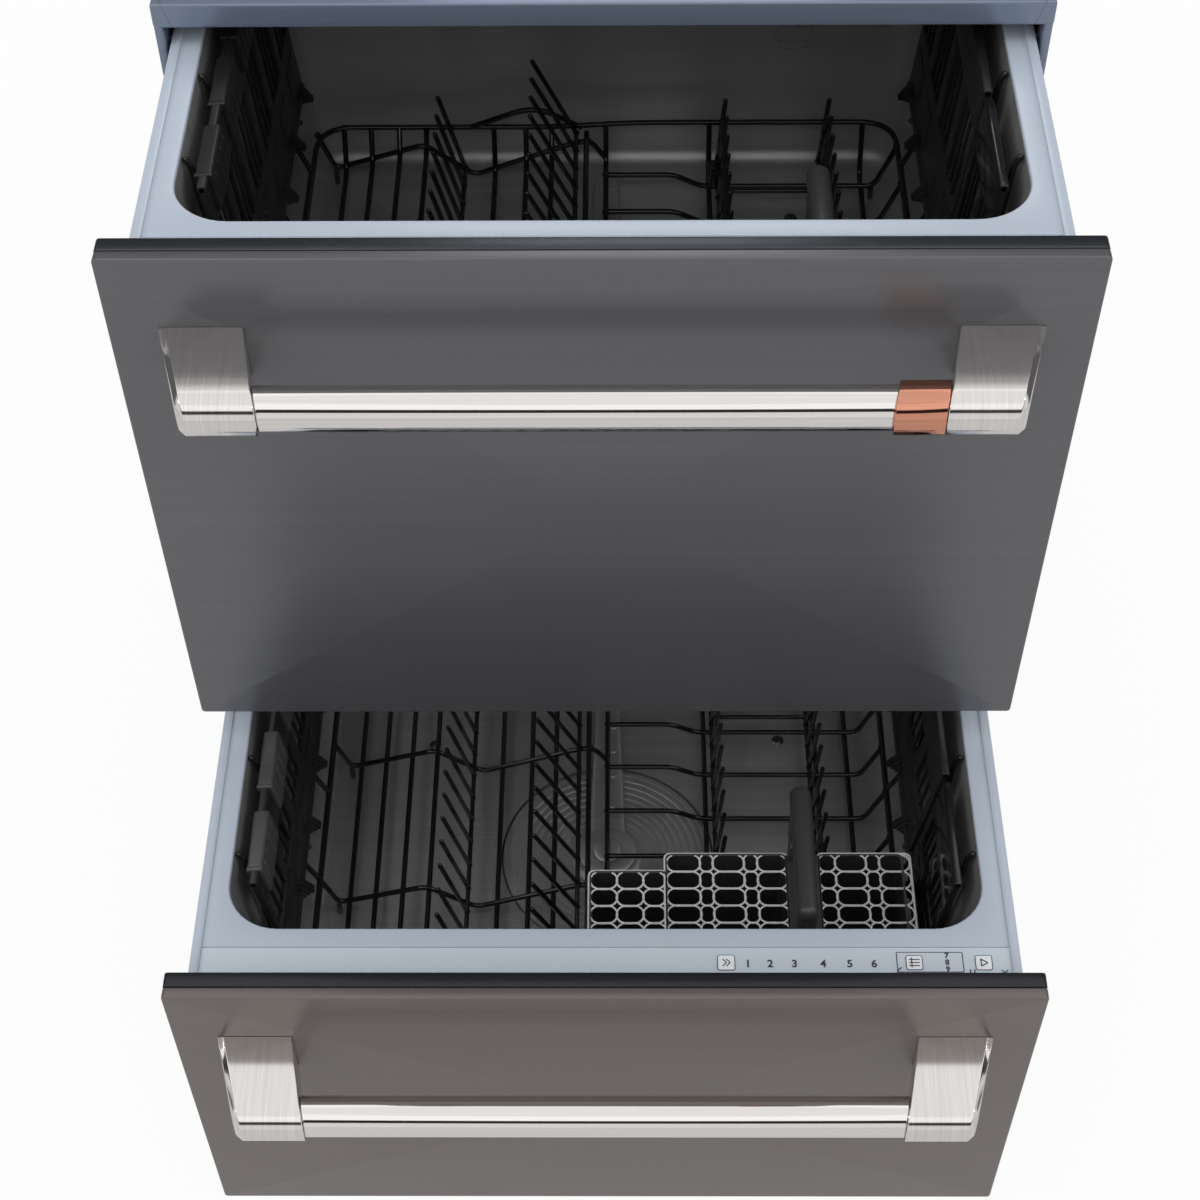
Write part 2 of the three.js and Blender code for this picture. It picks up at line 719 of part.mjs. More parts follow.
function rack(drawer) {
  const z = (height) => drawer.floorZ + height;
  const route = (points) => bentWire(points.map(([x, y, height]) => [x, y, z(height)]), wire);
  const side = rackSideX;
  const bend = rackCorner;
  const rackBack = drawer.rackBack;
  const pieces = [
    route([[-side, rackFront + bend, leftRailHeight], [-side, rackBack - bend, leftRailHeight]]),
    route([[side, rackFront + bend, rightRailHeight], [side, rackBack - bend, rightRailHeight]]),
    // rear wire
    route([
      [-side, rackBack - bend, leftRailHeight], [-side + 9, rackBack - 9, leftRailHeight],
      [-side + bend, rackBack, leftRailHeight], [-40, rackBack, leftRailHeight],
      [20, rackBack, rightRailHeight], [side - bend, rackBack, rightRailHeight],
      [side - 9, rackBack - 9, rightRailHeight], [side, rackBack - bend, rightRailHeight],
    ]),
    // front wire: high on the left, dipping under the basket on the right
    route([
      [-side, rackFront + bend, leftRailHeight], [-side + 9, rackFront + 9, leftRailHeight],
      [-side + bend, rackFront, leftRailHeight], [-24, rackFront, leftRailHeight],
      [-16.5, rackFront, middleHeight], [55, rackFront, middleHeight], [78, rackFront, rightLowHeight],
      [218, rackFront, rightLowHeight], [side - 1, rackFront + 2, rightRailHeight - 3],
      [side, rackFront + bend, rightRailHeight],
    ]),
    // low arch behind the folding rows
    route([[-110, rackBack, leftRailHeight], [-57, rackBack, archHeight], [-21, rackBack, leftRailHeight]]),
    block(dividerLeft, dividerRight, rackFront, rackBack, z(40), z(48)),
  ];
  for (let y = drawer.leftCross; y < rackBack; y += leftCrossPitch) {
    pieces.push(route(leftCourse.map(([x, height]) => [x, y, height])));
    pieces.push(route([[-222, y, 17], [-222, y, runningGap]]));
  }
  for (let i = 0; i < 8; i += 1) {
    const y = drawer.rightCross + i * rightCrossPitch;
    pieces.push(route(rightCourse.map(([x, height]) => [x, y, height])));
    if (i % 6 === 1) pieces.push(route([[216, y, rightLowHeight], [216, y, runningGap]]));
  }
  for (const x of [-213, -191, -168, -146, -91, -65, -44]) {
    const height = courseHeight(x) - wireLap;
    pieces.push(route([
      [x, rackFront, leftRailHeight], [x, rackFront + 14, height], [x, rackBack - 14, height],
      [x, rackBack, leftRailHeight],
    ]));
  }
  for (const x of [0, 84, 181, 208]) {
    const height = courseHeight(x) - wireLap;
    const rearHeight = x === 0 ? 52.7 : rightRailHeight;
    pieces.push(route([[x, rackFront - 2, height], [x, rackBack - 14, height], [x, rackBack, rearHeight]]));
  }
  return join(pieces);
}

// The wires along one side that carry a cup rack, on a rod that lies along the rack's rail. The
// right one also holds the short fixed shelf beside the cutlery basket.
function sideFrame(drawer, side) {
  const rodZ = drawer.floorZ + sideRodHeight(side);
  const lastUpright = firstUpright + (uprightCount - 1) * uprightPitch;
  const rod = bentWire([
    [side * rackSideX, firstUpright - 6, rodZ], [side * rackSideX, lastUpright + 6, rodZ],
  ], wire);
  const pieces = [rod];
  for (let i = 0; i < uprightCount; i += 1) {
    pieces.push(upright(drawer, side, firstUpright + i * uprightPitch));
  }
  if (side > 0) pieces.push(cupShelf(drawer, 1, cupFront, rightCupFront - 6, false, 0.8));
  return join(pieces);
}

function sideRodHeight(side) {
  return (side < 0 ? leftRailHeight : rightRailHeight) + wire + runningGap;
}

// A shelf for cups, drawn folded up against the tub's side wall, with teeth along its rod.
function cupShelf(drawer, side, front, back, grips, sink = 0) {
  const hingeZ = drawer.floorZ + cupHingeHeight;
  const rise = drawer.rimZ - cupTopBelowRim - hingeZ;
  const lean = Math.atan2(cupTopX - cupHingeX, rise);
  const length = rise / Math.cos(lean);
  const half = cupThickness / 2;
  const bays = Math.round((back - front) / 53);
  const bay = (back - front) / bays;
  const windows = [];
  for (let i = 0; i < bays; i += 1) {
    const y0 = front + i * bay;
    windows.push(block(-9, 9, y0 + 7, y0 + bay - 7, length * 0.35, length - gripHeight - 6));
  }
  const teeth = [];
  for (let y = firstTooth; y < back - 4; y += toothPitch) {
    if (y > front + 4) teeth.push(sweepY([[0, -4], [10, -7], [0, 12]], y - 3, y + 3));
  }
  const panel = block(-half, half, front, back, 0, length);
  const rod = bar([0, front, 0], [0, back, 0], cupHingeRadius * 2, 8);
  let shelf = join(cut(panel, windows), rod, teeth);
  if (grips) {
    for (let y = gripFront; y + gripLength < back; y += gripPitch) {
      const offset = gripDepth / 2;
      shelf = join(shelf, block(-offset, offset, y, y + gripLength, length - gripHeight, length + 1));
    }
  }
  const facing = side < 0 ? shelf : shelf.mirror([1, 0, 0]);
  const turn = side * lean * 180 / Math.PI;
  return facing.rotate([0, turn, 0]).translate(side * cupHingeX, 0, hingeZ - sink);
}

function cutleryBasket(drawer) {
  const base = drawer.floorZ + basketBase;
  const top = drawer.floorZ + basketTop;
  const wall = basketWall;
  const pockets = [
    [basketLeft, 47, leftPocketBack], [47 - wall, 139, basketBack], [162, basketRight, basketBack],
  ];
  const slots = [];
  for (const [x0, x1, back] of pockets) {
    const across = Math.round((x1 - x0 - 4) / latticePitchX);
    const down = Math.round((back - basketFront - 4) / latticePitchY);
    const startX = (x0 + x1 - across * latticePitchX) / 2;
    const startY = (basketFront + back - down * latticePitchY) / 2;
    for (let i = 0; i < across; i += 1) {
      for (let j = 0; j < down; j += 1) {
        const x = startX + i * latticePitchX;
        const y = startY + j * latticePitchY;
        slots.push(block(x + 3, x + latticePitchX - 3, y + 1.2, y + latticePitchY - 1.2, top - 5, top + 1));
      }
    }
  }
  const shells = pockets.map(([x0, x1, back]) => tray(x0, x1, basketFront, back, base, top, wall, 'none'));
  const bridge = tray(139 - wall, 162 + wall, basketFront, basketBack, base, top, wall, 'bottom');
  const lip = block(basketRight - 1, basketRight + 5, basketFront, basketBack, top - 3, top);
  const chamfer = sweepY([
    [basketRight - 14, base - 1], [basketRight + 1, base - 1], [basketRight + 1, base + 23],
  ], basketFront - 1, basketBack + 1);
  const chamferWall = sweepY([
    [basketRight - 19, base], [basketRight - 14, base], [basketRight, base + 22], [basketRight, base + 29],
  ], basketFront, basketBack);
  const handleZ = drawer.floorZ + basketHandleTop;
  const plan = new THREE.Shape([
    [136, basketFront + 2], [156, basketFront + 2], [152.5, basketHandleBack], [138.5, basketHandleBack],
  ].map(([x, y]) => new THREE.Vector2(x, y)));
  const grip = cut(
    sweepZ(plan, top - 1, handleZ),
    block(130, 170, basketFront + 20, basketHandleBack - 24, top + 14, handleZ - 14),
    block(130, 170, basketBack - 0.5, basketHandleBack + 1, top - 2, top + 14),
  );
  return join(cut(join(shells, bridge, chamferWall), chamfer, slots), lip, grip);
}

// ---------------------------------------------------------------- runners

function innerRail(drawer, side) {
  const top = drawer.rimZ - railTop;
  const bottom = top - railHeight;
  const x0 = innerRailX;
  const x1 = innerRailX + innerRailWidth;
  const inset = x1 - railSheet;
  const points = [
    [x0, bottom], [x1, bottom], [x1, bottom + railLip], [inset, bottom + railLip],
    [inset, bottom + railSheet], [x0 + railSheet, bottom + railSheet],
    [x0 + railSheet, top - railSheet], [inset, top - railSheet],
    [inset, top - railLip], [x1, top - railLip], [x1, top], [x0, top],
  ];
  return sweepY(mirrored(points, side), railStart, railStart + railLength);
}

function mirrored(points, side) {
  return side > 0 ? points : points.map(([x, z]) => [-x, z]).reverse();
}

// The bar between the inner and outer members, with a ball track along each side.
function middleRail(drawer, side) {
  const top = drawer.rimZ - rimPlate - rimSkirt - slideGap;
  const bottom = drawer.rimZ - railTop - railHeight + railLip - 1.5;
  const x0 = innerRailX + innerRailWidth + slideGap;
  const x1 = x0 + middleRailWidth;
  const middle = (top + bottom) / 2;
  const points = [
    [x0, bottom], [x1, bottom], [x1, middle - 4], [x1 - 1.5, middle], [x1, middle + 4], [x1, top],
    [x0, top], [x0, middle + 4], [x0 + 1.5, middle], [x0, middle - 4],
  ];
  const start = middleRailStart - drawer.opening / 2;
  return sweepY(mirrored(points, side), start, start + railLength);
}

function outerRail(drawer, side) {
  const top = drawer.rimZ - railTop - 3;
  const bottom = top - railHeight + 5;
  const x0 = innerRailX + innerRailWidth + middleRailWidth + 2 * slideGap;
  const x1 = x0 + outerRailWidth;
  const points = [
    [x0, bottom], [x1, bottom], [x1, top], [x0, top], [x0, top - railSheet],
    [x1 - railSheet, top - railSheet], [x1 - railSheet, bottom + railSheet], [x0, bottom + railSheet],
  ];
  return sweepY(mirrored(points, side), frameDepth + 2, frameDepth + 2 + railLength + 22);
}

// ---------------------------------------------------------------- chassis

function frontFrame() {
  const half = overallWidth / 2;
  const innerHalf = half - frameSideBar;
  const crossTop = drawers[0].panelBottom - 4;
  const bar0 = baseBottom + frameBottomBar;
  return cut(
    block(-half, half, 0, frameDepth, baseBottom, overallHeight),
    block(-innerHalf, innerHalf, -1, frameDepth + 1, bar0, crossTop - crossBarHeight),
    block(-innerHalf, innerHalf, -1, frameDepth + 1, crossTop, overallHeight - frameTopBar),
  );
}

// Side walls and rear wall folded from one sheet, with hose and cable holes behind, and a top pan
// and a base pan welded in.
function chassisShell() {
  const front = frameDepth + runningGap;
  const outer = block(-chassisHalfWidth, chassisHalfWidth, front, chassisBack, baseBottom, overallHeight - 2);
  const inner = block(
    -chassisHalfWidth + wallSheet, chassisHalfWidth - wallSheet, front - 1, chassisBack - wallSheet,
    baseBottom - 1, overallHeight,
  );
  const holes = [[-180, 14], [-130, 14], [190, 11]].map(([x, radius]) => bar(
    [x, chassisBack - 10, baseBottom + 60], [x, chassisBack + 10, baseBottom + 60], radius * 2, 20,
  ));
  return join(cut(outer, inner, holes), topPan(), basePan());
}

function topPan() {
  const half = chassisHalfWidth - wallSheet / 2;
  return tray(
    -half, half, frameDepth + runningGap, chassisBack - wallSheet / 2,
    overallHeight - 3 - topPanHeight, overallHeight - 3, wallSheet, 'bottom',
  );
}

function basePan() {
  const half = chassisHalfWidth - wallSheet / 2;
  return tray(
    -half, half, frameDepth + runningGap, chassisBack - wallSheet / 2,
    baseBottom, baseBottom + baseFlange, baseSheet, 'top',
  );
}

function toeKick() {
  const y = footInset + footRadius + 2;
  const top = baseBottom - runningGap;
  return join(
    block(-290, 290, y, y + 2, 10, top),
    block(-290, 290, y, y + 24, top - 2, top),
  );
}

function foot(x, y) {
  const top = baseBottom - runningGap;
  return turned([
    [0, 0], [footRadius, 0], [footRadius, 6], [footRadius - 8, 14], [9, 18], [9, 70], [14, 72],
    [14, top], [0, top],
  ], x, y, 14);
}

// The flat lid that seals a tub. It is guided by the chassis walls and stands lifted.
function lid(drawer) {
  const half = chassisHalfWidth - wallSheet - runningGap;
  const bottom = drawer.rimZ + rimBorderRise + slideGap + lidLift;
  return tray(-half, half, 28, 504, bottom, bottom + lidHeight, lidWall, 'top');
}

// ---------------------------------------------------------------- assembly

addPiece(model, 'chassis_shell', chassisShell(), zincSteel);
addPiece(model, 'front_frame', frontFrame(), slatePaint);
addPiece(model, 'toe_kick', toeKick(), blackPlastic);

const footX = chassisHalfWidth - 40;
for (const [name, x, y] of [
  ['front_left_foot', -footX, footInset], ['front_right_foot', footX, footInset],
  ['rear_left_foot', -footX, chassisBack - footInset], ['rear_right_foot', footX, chassisBack - footInset],
]) {
  addPiece(model, name, foot(x, y), footRubber);
}

for (const drawer of drawers) {
  const named = (piece) => `${drawer.name}_${piece}`;
  addPiece(model, named('lid'), lid(drawer), greyPlastic);
  for (const [hand, side] of [['left', -1], ['right', 1]]) {
    addPiece(model, named(`${hand}_outer_rail`), outerRail(drawer, side), zincSteel);
    addPiece(model, named(`${hand}_middle_rail`), middleRail(drawer, side), zincSteel);
  }

  const body = new THREE.Group();
  body.position.y = drawer.frontY;
  addPiece(body, named('front_panel'), frontPanel(drawer), graphiteSteel);
  addPiece(body, named('panel_backing'), panelBacking(drawer), blackPlastic);
  addPiece(body, named('control_panel'), controlPanel(drawer), paleBluePlastic);
  addPiece(body, named('tub'), tub(drawer), linerSteel);
  addPiece(body, named('tub_rim'), tubRim(drawer), paleBluePlastic);
  addPiece(body, named('handle_bar'), handleBar(drawer), brushedNickel);
  addPiece(body, named('handle_left_bracket'), bracket(drawer, -1), brushedNickel);
  addPiece(body, named('handle_right_bracket'), bracket(drawer, 1), brushedNickel);
  if (drawer.band) {
    addPiece(body, named('handle_band'), handleBand(drawer), copper);
  }
  addPiece(body, named('wash_motor'), washMotor(drawer), greyPlastic);
  addPiece(body, named('filter_plate'), filterPlate(drawer), linerSteel);
  addPiece(body, named('spray_arm'), sprayArm(drawer), greyPlastic);
  addPiece(body, named('dispenser_door'), dispenserDoor(drawer), greyPlastic);
  addPiece(body, named('rack'), rack(drawer), blackNylon);
  addPiece(body, named('left_side_frame'), sideFrame(drawer, -1), blackNylon);
  addPiece(body, named('right_side_frame'), sideFrame(drawer, 1), blackNylon);
  addPiece(body, named('outer_tines'), tineRow(drawer, outerTines), blackNylon);
  addPiece(body, named('middle_tines'), tineRow(drawer, middleTines), blackNylon);
  addPiece(body, named('plate_insert'), plateInsert(drawer), blackNylon);
  addPiece(body, named('left_cup_rack'), cupShelf(drawer, -1, cupFront, cupBack, true), blackPlastic);
  addPiece(body, named('right_cup_rack'), cupShelf(drawer, 1, rightCupFront, cupBack, false), blackPlastic);
  addPiece(body, named('cutlery_basket'), cutleryBasket(drawer), basketGrey);
  model.add(body);
}

export default model;
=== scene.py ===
"""Looks of a built-in dishwasher with two drawers, both pulled partly open.

Shapes are worked out in millimetres (X right, Y into the cabinet, Z up, as in the CAD model) and
turned into metres when they become a mesh. A drawer's own pieces are drawn with Y measured from
the face of its front.
"""

import json
import math
from types import SimpleNamespace

import bmesh
import bpy
import numpy as np
from mathutils import Matrix

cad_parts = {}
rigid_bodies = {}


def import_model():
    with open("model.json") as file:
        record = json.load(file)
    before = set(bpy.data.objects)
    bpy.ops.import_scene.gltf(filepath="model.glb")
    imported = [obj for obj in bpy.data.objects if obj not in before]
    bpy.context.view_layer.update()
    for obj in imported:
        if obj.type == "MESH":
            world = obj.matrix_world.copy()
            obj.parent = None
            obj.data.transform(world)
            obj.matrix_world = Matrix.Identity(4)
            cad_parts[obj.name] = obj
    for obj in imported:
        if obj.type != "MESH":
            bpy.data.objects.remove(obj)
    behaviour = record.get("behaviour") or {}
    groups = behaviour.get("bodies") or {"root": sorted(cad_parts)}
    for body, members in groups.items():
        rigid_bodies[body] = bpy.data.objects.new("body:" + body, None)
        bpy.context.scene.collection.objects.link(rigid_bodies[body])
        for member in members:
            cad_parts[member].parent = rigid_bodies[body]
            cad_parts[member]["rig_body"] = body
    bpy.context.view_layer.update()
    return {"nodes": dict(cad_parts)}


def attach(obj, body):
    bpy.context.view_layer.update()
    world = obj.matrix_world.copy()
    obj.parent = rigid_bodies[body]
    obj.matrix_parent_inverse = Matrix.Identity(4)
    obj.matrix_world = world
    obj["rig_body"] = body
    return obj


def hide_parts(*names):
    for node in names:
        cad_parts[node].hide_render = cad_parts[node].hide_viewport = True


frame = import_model()

MM = 0.001
TAU = 2 * math.pi
SOFT_ANGLE = math.radians(35)

# -------- sizes, as in the CAD model

UPPER = SimpleNamespace(
    name="upper", front=-250.9, top=863.0, bottom=420.0, rim=829.0, floor=548.0, rack_back=460.0,
    left_cross=312.0, right_cross=110.6,
)
LOWER = SimpleNamespace(
    name="lower", front=-488.5, top=417.0, bottom=104.0, rim=383.0, floor=153.0, rack_back=474.0,
    left_cross=228.0, right_cross=131.2,
)
GAP = 0.3  # between pieces that touch
HALF_WIDTH = 299.5
PANEL_SKIN, PANEL_DEPTH = 8.5, 20.0
STRIP_BACK = 59.3
MOUTH_HALF, MOUTH_FRONT, MOUTH_BACK = 270.0, 75.0, 495.0
TUB_MIDDLE, TUB_HALF_LENGTH = 285.0, 210.0
FLOOR_HALF, FLOOR_HALF_LENGTH = 248.0, 195.0
FLOOR_INSET, WALL_LEAN = 15.0, 22.0  # mouth against floor, at the ends and at the sides
TUB_CORNER, TUB_FILLET, TUB_SHEET = 38.0, 18.0, 0.9
SUMP_RADIUS, ARM_RADIUS = 90.0, 168.0
RIM_HALF, RIM_BACK, RIM_PLATE = 290.5, 515.0, 3.0
BAR_RADIUS, NOSE_RADIUS = 14.0, 16.5
STAND_OFF, BELOW_TOP = 50.0, 73.0  # the bar's axis, from the front's face and its top edge
ROOT_INNER, ROOT_OUTER, ROOT_TOP, ROOT_BOTTOM = 216.5, 268.5, 19.5, 22.5
BAND_LENGTH = 31.0
WIRE, TINE = 4.5, 4.0
WIRE_LAP = WIRE - 0.5  # a long wire lies this far under the cross wires
SIDE_X, RACK_FRONT = 233.5, 104.0
LEFT_RAIL, RIGHT_RAIL = 50.0, 54.0
LEFT_CROSS_PITCH = 137.0
TINE_PITCH, FIRST_TINE = 22.7, 113.6
INSERT_FIRST, INSERT_COUNT, INSERT_HEIGHT = 204.5, 12, 61.5
FIRST_UPRIGHT, UPRIGHT_PITCH = 140.0, 86.0
WALL_GAP = 4.3  # a side wire's middle to the tub's wall
HINGE_X, HINGE_HEIGHT, CUP_TOP_X, CUP_BELOW_RIM = 240.0, 110.0, 255.4, 10.0
CUP_FRONT, FIXED_CUP_BACK, RIGHT_CUP_FRONT, CUP_BACK = 118.0, 208.0, 214.0, 436.0
CUP_BAY, CUP_BAR = 53.0, 7.0  # width of a window with its bar, half width of a bar
FIRST_TOOTH, TOOTH_PITCH = 125.0, 60.0
FIRST_GRIP, GRIP_LENGTH, GRIP_PITCH = 129.5, 52.0, 73.0
DISPENSER_BELOW_RIM, DISPENSER_HEIGHT = 97.0, 50.0
RAIL_INNER, RAIL_OUTER, RAIL_HEIGHT, RAIL_LIP, RAIL_SHEET = 272.5, 282.0, 40.0, 4.0, 1.5
RAIL_FRONT, RAIL_BACK, RAIL_BELOW_RIM = 22.0, 500.0, 43.8
KEY_ROW, NUMBER_ROW = 47.0, 46.0  # behind the front's face
BASKET_BASE, BASKET_TOP, BASKET_FRONT = 28.55, 147.0, 92.0
HANDS = (("left", -1), ("right", 1))


# -------- shapes as arrays

def grid_faces(rows, cols, close_rows=False, close_cols=False):
    """Quads (i, j), (i, j+1), (i+1, j+1), (i+1, j) over a grid of points, wrapped where it closes."""
    r = np.arange(rows if close_rows else rows - 1)
    c = np.arange(cols if close_cols else cols - 1)
    i, j = np.meshgrid(r, c, indexing="ij")
    i2, j2 = (i + 1) % rows, (j + 1) % cols
    return np.stack([i * cols + j, i * cols + j2, i2 * cols + j2, i2 * cols + j], -1).reshape(-1, 4)


def lofted(rings):
    """A skin over a stack of loops (rows, cols, 3); each end is a fan round its loop's mean."""
    rings = np.asarray(rings, float)
    rows, cols = rings.shape[:2]
    points = np.concatenate([rings.reshape(-1, 3), rings[[0, -1]].mean(axis=1)])
    j = np.arange(cols)
    k = (j + 1) % cols
    last = (rows - 1) * cols
    near = np.stack([np.full(cols, rows * cols), k, j], -1)
    far = np.stack([np.full(cols, rows * cols + 1), last + j, last + k], -1)
    return points, [grid_faces(rows, cols, close_cols=True), near, far]


def ring_body(rings):
    """A skin over loops whose last loop joins the first again, such as a frame round a hole."""
    rings = np.asarray(rings, float)
    rows, cols = rings.shape[:2]
    return rings.reshape(-1, 3), [grid_faces(rows, cols, close_rows=True, close_cols=True)]


def repeated(part, offsets):
    """The part once at each offset."""
    points, faces = part
    offsets = np.atleast_2d(np.asarray(offsets, float))
    copies = (points[None] + offsets[:, None]).reshape(-1, 3)
    shift = np.arange(len(offsets))[:, None, None] * len(points)
    return copies, [(f[None] + shift).reshape(-1, f.shape[1]) for f in faces]


def joined(parts):
    """Several parts as one list of points and one list of faces."""
    starts = np.cumsum([0] + [len(points) for points, _ in parts])
    points = np.concatenate([points for points, _ in parts])
    faces = [f + start for (_, some), start in zip(parts, starts) for f in some]
    return points, faces


def moved(part, offset):
    points, faces = part
    return points + np.asarray(offset, float), faces


def bent_path(corners, bend, steps=5):
    """Straight runs with bends between them: round a corner c the path is the curve
    (1-t)^2 a + 2t(1-t) c + t^2 b, from a, a length `bend` before c, to b, as far behind it."""
    c = np.asarray(corners, float)
    legs = np.diff(c, axis=0)
    length = np.linalg.norm(legs, axis=1)
    reach = np.minimum(bend, 0.45 * np.minimum(length[:-1], length[1:]))[:, None]
    a = c[1:-1] - legs[:-1] / length[:-1, None] * reach
    b = c[1:-1] + legs[1:] / length[1:, None] * reach
    t = np.linspace(0, 1, steps)[None, :, None]
    curve = (1 - t) ** 2 * a[:, None] + 2 * t * (1 - t) * c[1:-1, None] + t ** 2 * b[:, None]
    return np.concatenate([c[:1], curve.reshape(-1, 3), c[-1:]])


def closed_path(corners, bend, steps=5):
    c = np.asarray(corners, float)
    return bent_path(np.vstack([c[-1:], c, c[:1]]), bend, steps)[1:-1]


def unit(vectors):
    return vectors / np.linalg.norm(vectors, axis=-1, keepdims=True)


def path_frame(path, closed=False):
    """Unit vectors along a path, level across it and square to both."""
    if closed:
        along = unit(np.roll(path, -1, axis=0) - np.roll(path, 1, axis=0))
    else:
        along = unit(np.gradient(path, axis=0))
    reference = np.eye(3)[np.argmin(np.abs(along).sum(axis=0))]
    across = unit(np.cross(along, reference))
    return along, across, np.cross(along, across)


def tube(path, radius, sides=10, closed=False, dome=(78, 50, 24)):
    """A round wire: at each point p of the path the circle p + r (cos a across + sin a square);
    at an end the circles shrink as r cos e while they move out by r sin e."""
    path = np.asarray(path, float)
    along, across, square = path_frame(path, closed)
    e = np.radians(dome)
    n = len(e) if not closed else 0
    pick = np.concatenate([[0] * n, np.arange(len(path)), [len(path) - 1] * n]).astype(int)
    out = np.concatenate([-np.sin(e)[:n], np.zeros(len(path)), np.sin(e[::-1])[:n]]) * radius
    size = np.concatenate([np.cos(e)[:n], np.ones(len(path)), np.cos(e[::-1])[:n]]) * radius
    a = np.arange(sides) / sides * TAU
    centre = path[pick] + along[pick] * out[:, None]
    a = a[None, :, None]
    circle = np.cos(a) * across[pick][:, None] + np.sin(a) * square[pick][:, None]
    rings = centre[:, None] + size[:, None, None] * circle
    return ring_body(rings) if closed else lofted(rings)


def carried(section, path):
    """A flat outline (across, up) carried along a path: p + u across + v square."""
    section = np.asarray(section, float)
    path = np.asarray(path, float)
    _, across, square = path_frame(path)
    return lofted(
        path[:, None] + section[None, :, :1] * across[:, None] + section[None, :, 1:] * square[:, None]
    )


def rounded_loop(a, b, r, arc=6, straight=0):
    """Loops of half sizes a and b with corner radius r: four arcs, the straights divided evenly."""
    a, b, r = np.broadcast_arrays(*(np.atleast_1d(np.asarray(v, float))[:, None, None] for v in (a, b, r)))
    sx = np.array([1, -1, -1, 1])[None, :, None]
    sy = np.array([1, 1, -1, -1])[None, :, None]
    angle = ((np.arange(4)[:, None] + np.linspace(0, 1, arc + 1)[None]) * math.pi / 2)[None]
    x = sx * (a - r) + r * np.cos(angle)
    y = sy * (b - r) + r * np.sin(angle)
    t = np.linspace(0, 1, straight + 2)[1:-1]
    x = np.concatenate([x, x[:, :, -1:] + (np.roll(x[:, :, :1], -1, axis=1) - x[:, :, -1:]) * t], axis=2)
    y = np.concatenate([y, y[:, :, -1:] + (np.roll(y[:, :, :1], -1, axis=1) - y[:, :, -1:]) * t], axis=2)
    return np.stack([x, y], -1).reshape(x.shape[0], -1, 2)


def level_rings(a, b, r, x, y, z, arc=6, straight=0):
    """Rounded loops in level planes, each with its own half sizes, corner, centre and height."""
    loops = rounded_loop(a, b, r, arc, straight)
    rows, cols = loops.shape[:2]
    x, y, z = (np.broadcast_to(np.atleast_1d(np.asarray(v, float)), (rows,))[:, None] for v in (x, y, z))
    return np.stack([loops[..., 0] + x, loops[..., 1] + y, np.broadcast_to(z, (rows, cols))], -1)


def rounded_box(low, high, edge=0.6, corner=None, axis=2, arc=3):
    """A box with soft edges: along the axis its loop shrinks by edge (1 - sin t) while it runs out
    by edge (1 - cos t); corner is the radius of the edges that run along the axis."""
    low, high = np.array(low, float), np.array(high, float)
    order = [(axis + 1) % 3, (axis + 2) % 3, axis]
    half = ((high - low) / 2)[order]
    centre = ((high + low) / 2)[order]
    t = np.linspace(0, math.pi / 2, arc + 1)
    shrink = edge * (1 - np.sin(t))
    drop = edge * (1 - np.cos(t))
    shrink = np.concatenate([shrink, shrink[::-1]])
    level = np.concatenate([-half[2] + drop, half[2] - drop[::-1]])
    radius = np.maximum((corner or edge) - shrink, 0.05)
    a, b, (x, y, z) = half[0] - shrink, half[1] - shrink, centre
    points, faces = lofted(level_rings(a, b, radius, x, y, level + z, arc))
    box = np.empty_like(points)
    box[:, order] = points
    return box, faces


def level_loop(x, y, width, depth, radius, arc, z, thick, sides):
    """A closed tube that lies level, round a rounded rectangle."""
    loop = rounded_loop(width / 2, depth / 2, radius, arc)[0] + [x, y]
    return tube(np.insert(loop, 2, z, 1), thick, sides, closed=True)


def turned(profile, x, y, sides=48):
    """A turned piece: each (radius, height) of the profile goes round the upright axis at x, y."""
    profile = np.asarray(profile, float)
    a = np.arange(sides) / sides * TAU
    radius = np.maximum(profile[:, :1], 0.02)
    height = np.broadcast_to(profile[:, 1:], (len(profile), sides))
    return lofted(np.stack([x + radius * np.cos(a), y + radius * np.sin(a), height], -1))


def ball(radius):
    """A small bead with eight sides: circles of radius r cos e at heights r sin e."""
    e = np.radians((-58, -20, 20, 58))[:, None]
    a = np.arange(8) / 8 * TAU
    rings = np.stack([np.cos(e) * np.cos(a), np.cos(e) * np.sin(a), np.broadcast_to(np.sin(e), (4, 8))], -1)
    return lofted(rings * radius)


# -------- making pieces

def new_object(name, mesh, finish, body, replaces, slot=None):
    mesh.materials.clear()
    mesh.materials.append(finish.material)
    piece = bpy.data.objects.new(name, mesh)
    bpy.context.scene.collection.objects.link(piece)
    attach(piece, body)
    if replaces:
        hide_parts(*replaces)
    slot = slot or finish.slot
    return piece


def reworked(mesh, source, *steps):
    """The source mesh after each step on its faces, kept in mesh."""
    work = bmesh.new()
    work.from_mesh(source)
    for step in steps:
        step(work)
    work.to_mesh(mesh)
    work.free()


def merge_points(work, distance):
    bmesh.ops.remove_doubles(work, verts=work.verts, dist=distance)


def mesh_piece(name, parts, finish, body, replaces=(), slot=None, sharp=38):
    """One object from several closed parts, its faces turned outwards, smooth except past `sharp`."""
    points, faces = joined(parts)
    mesh = bpy.data.meshes.new(name)
    mesh.from_pydata((points * MM).tolist(), [], [row for f in faces for row in f.tolist()])
    reworked(mesh, mesh, lambda work: bmesh.ops.recalc_face_normals(work, faces=work.faces))
    mesh.shade_smooth()
    mesh.set_sharp_from_angle(angle=math.radians(sharp))
    return new_object(name, mesh, finish, body, replaces, slot)


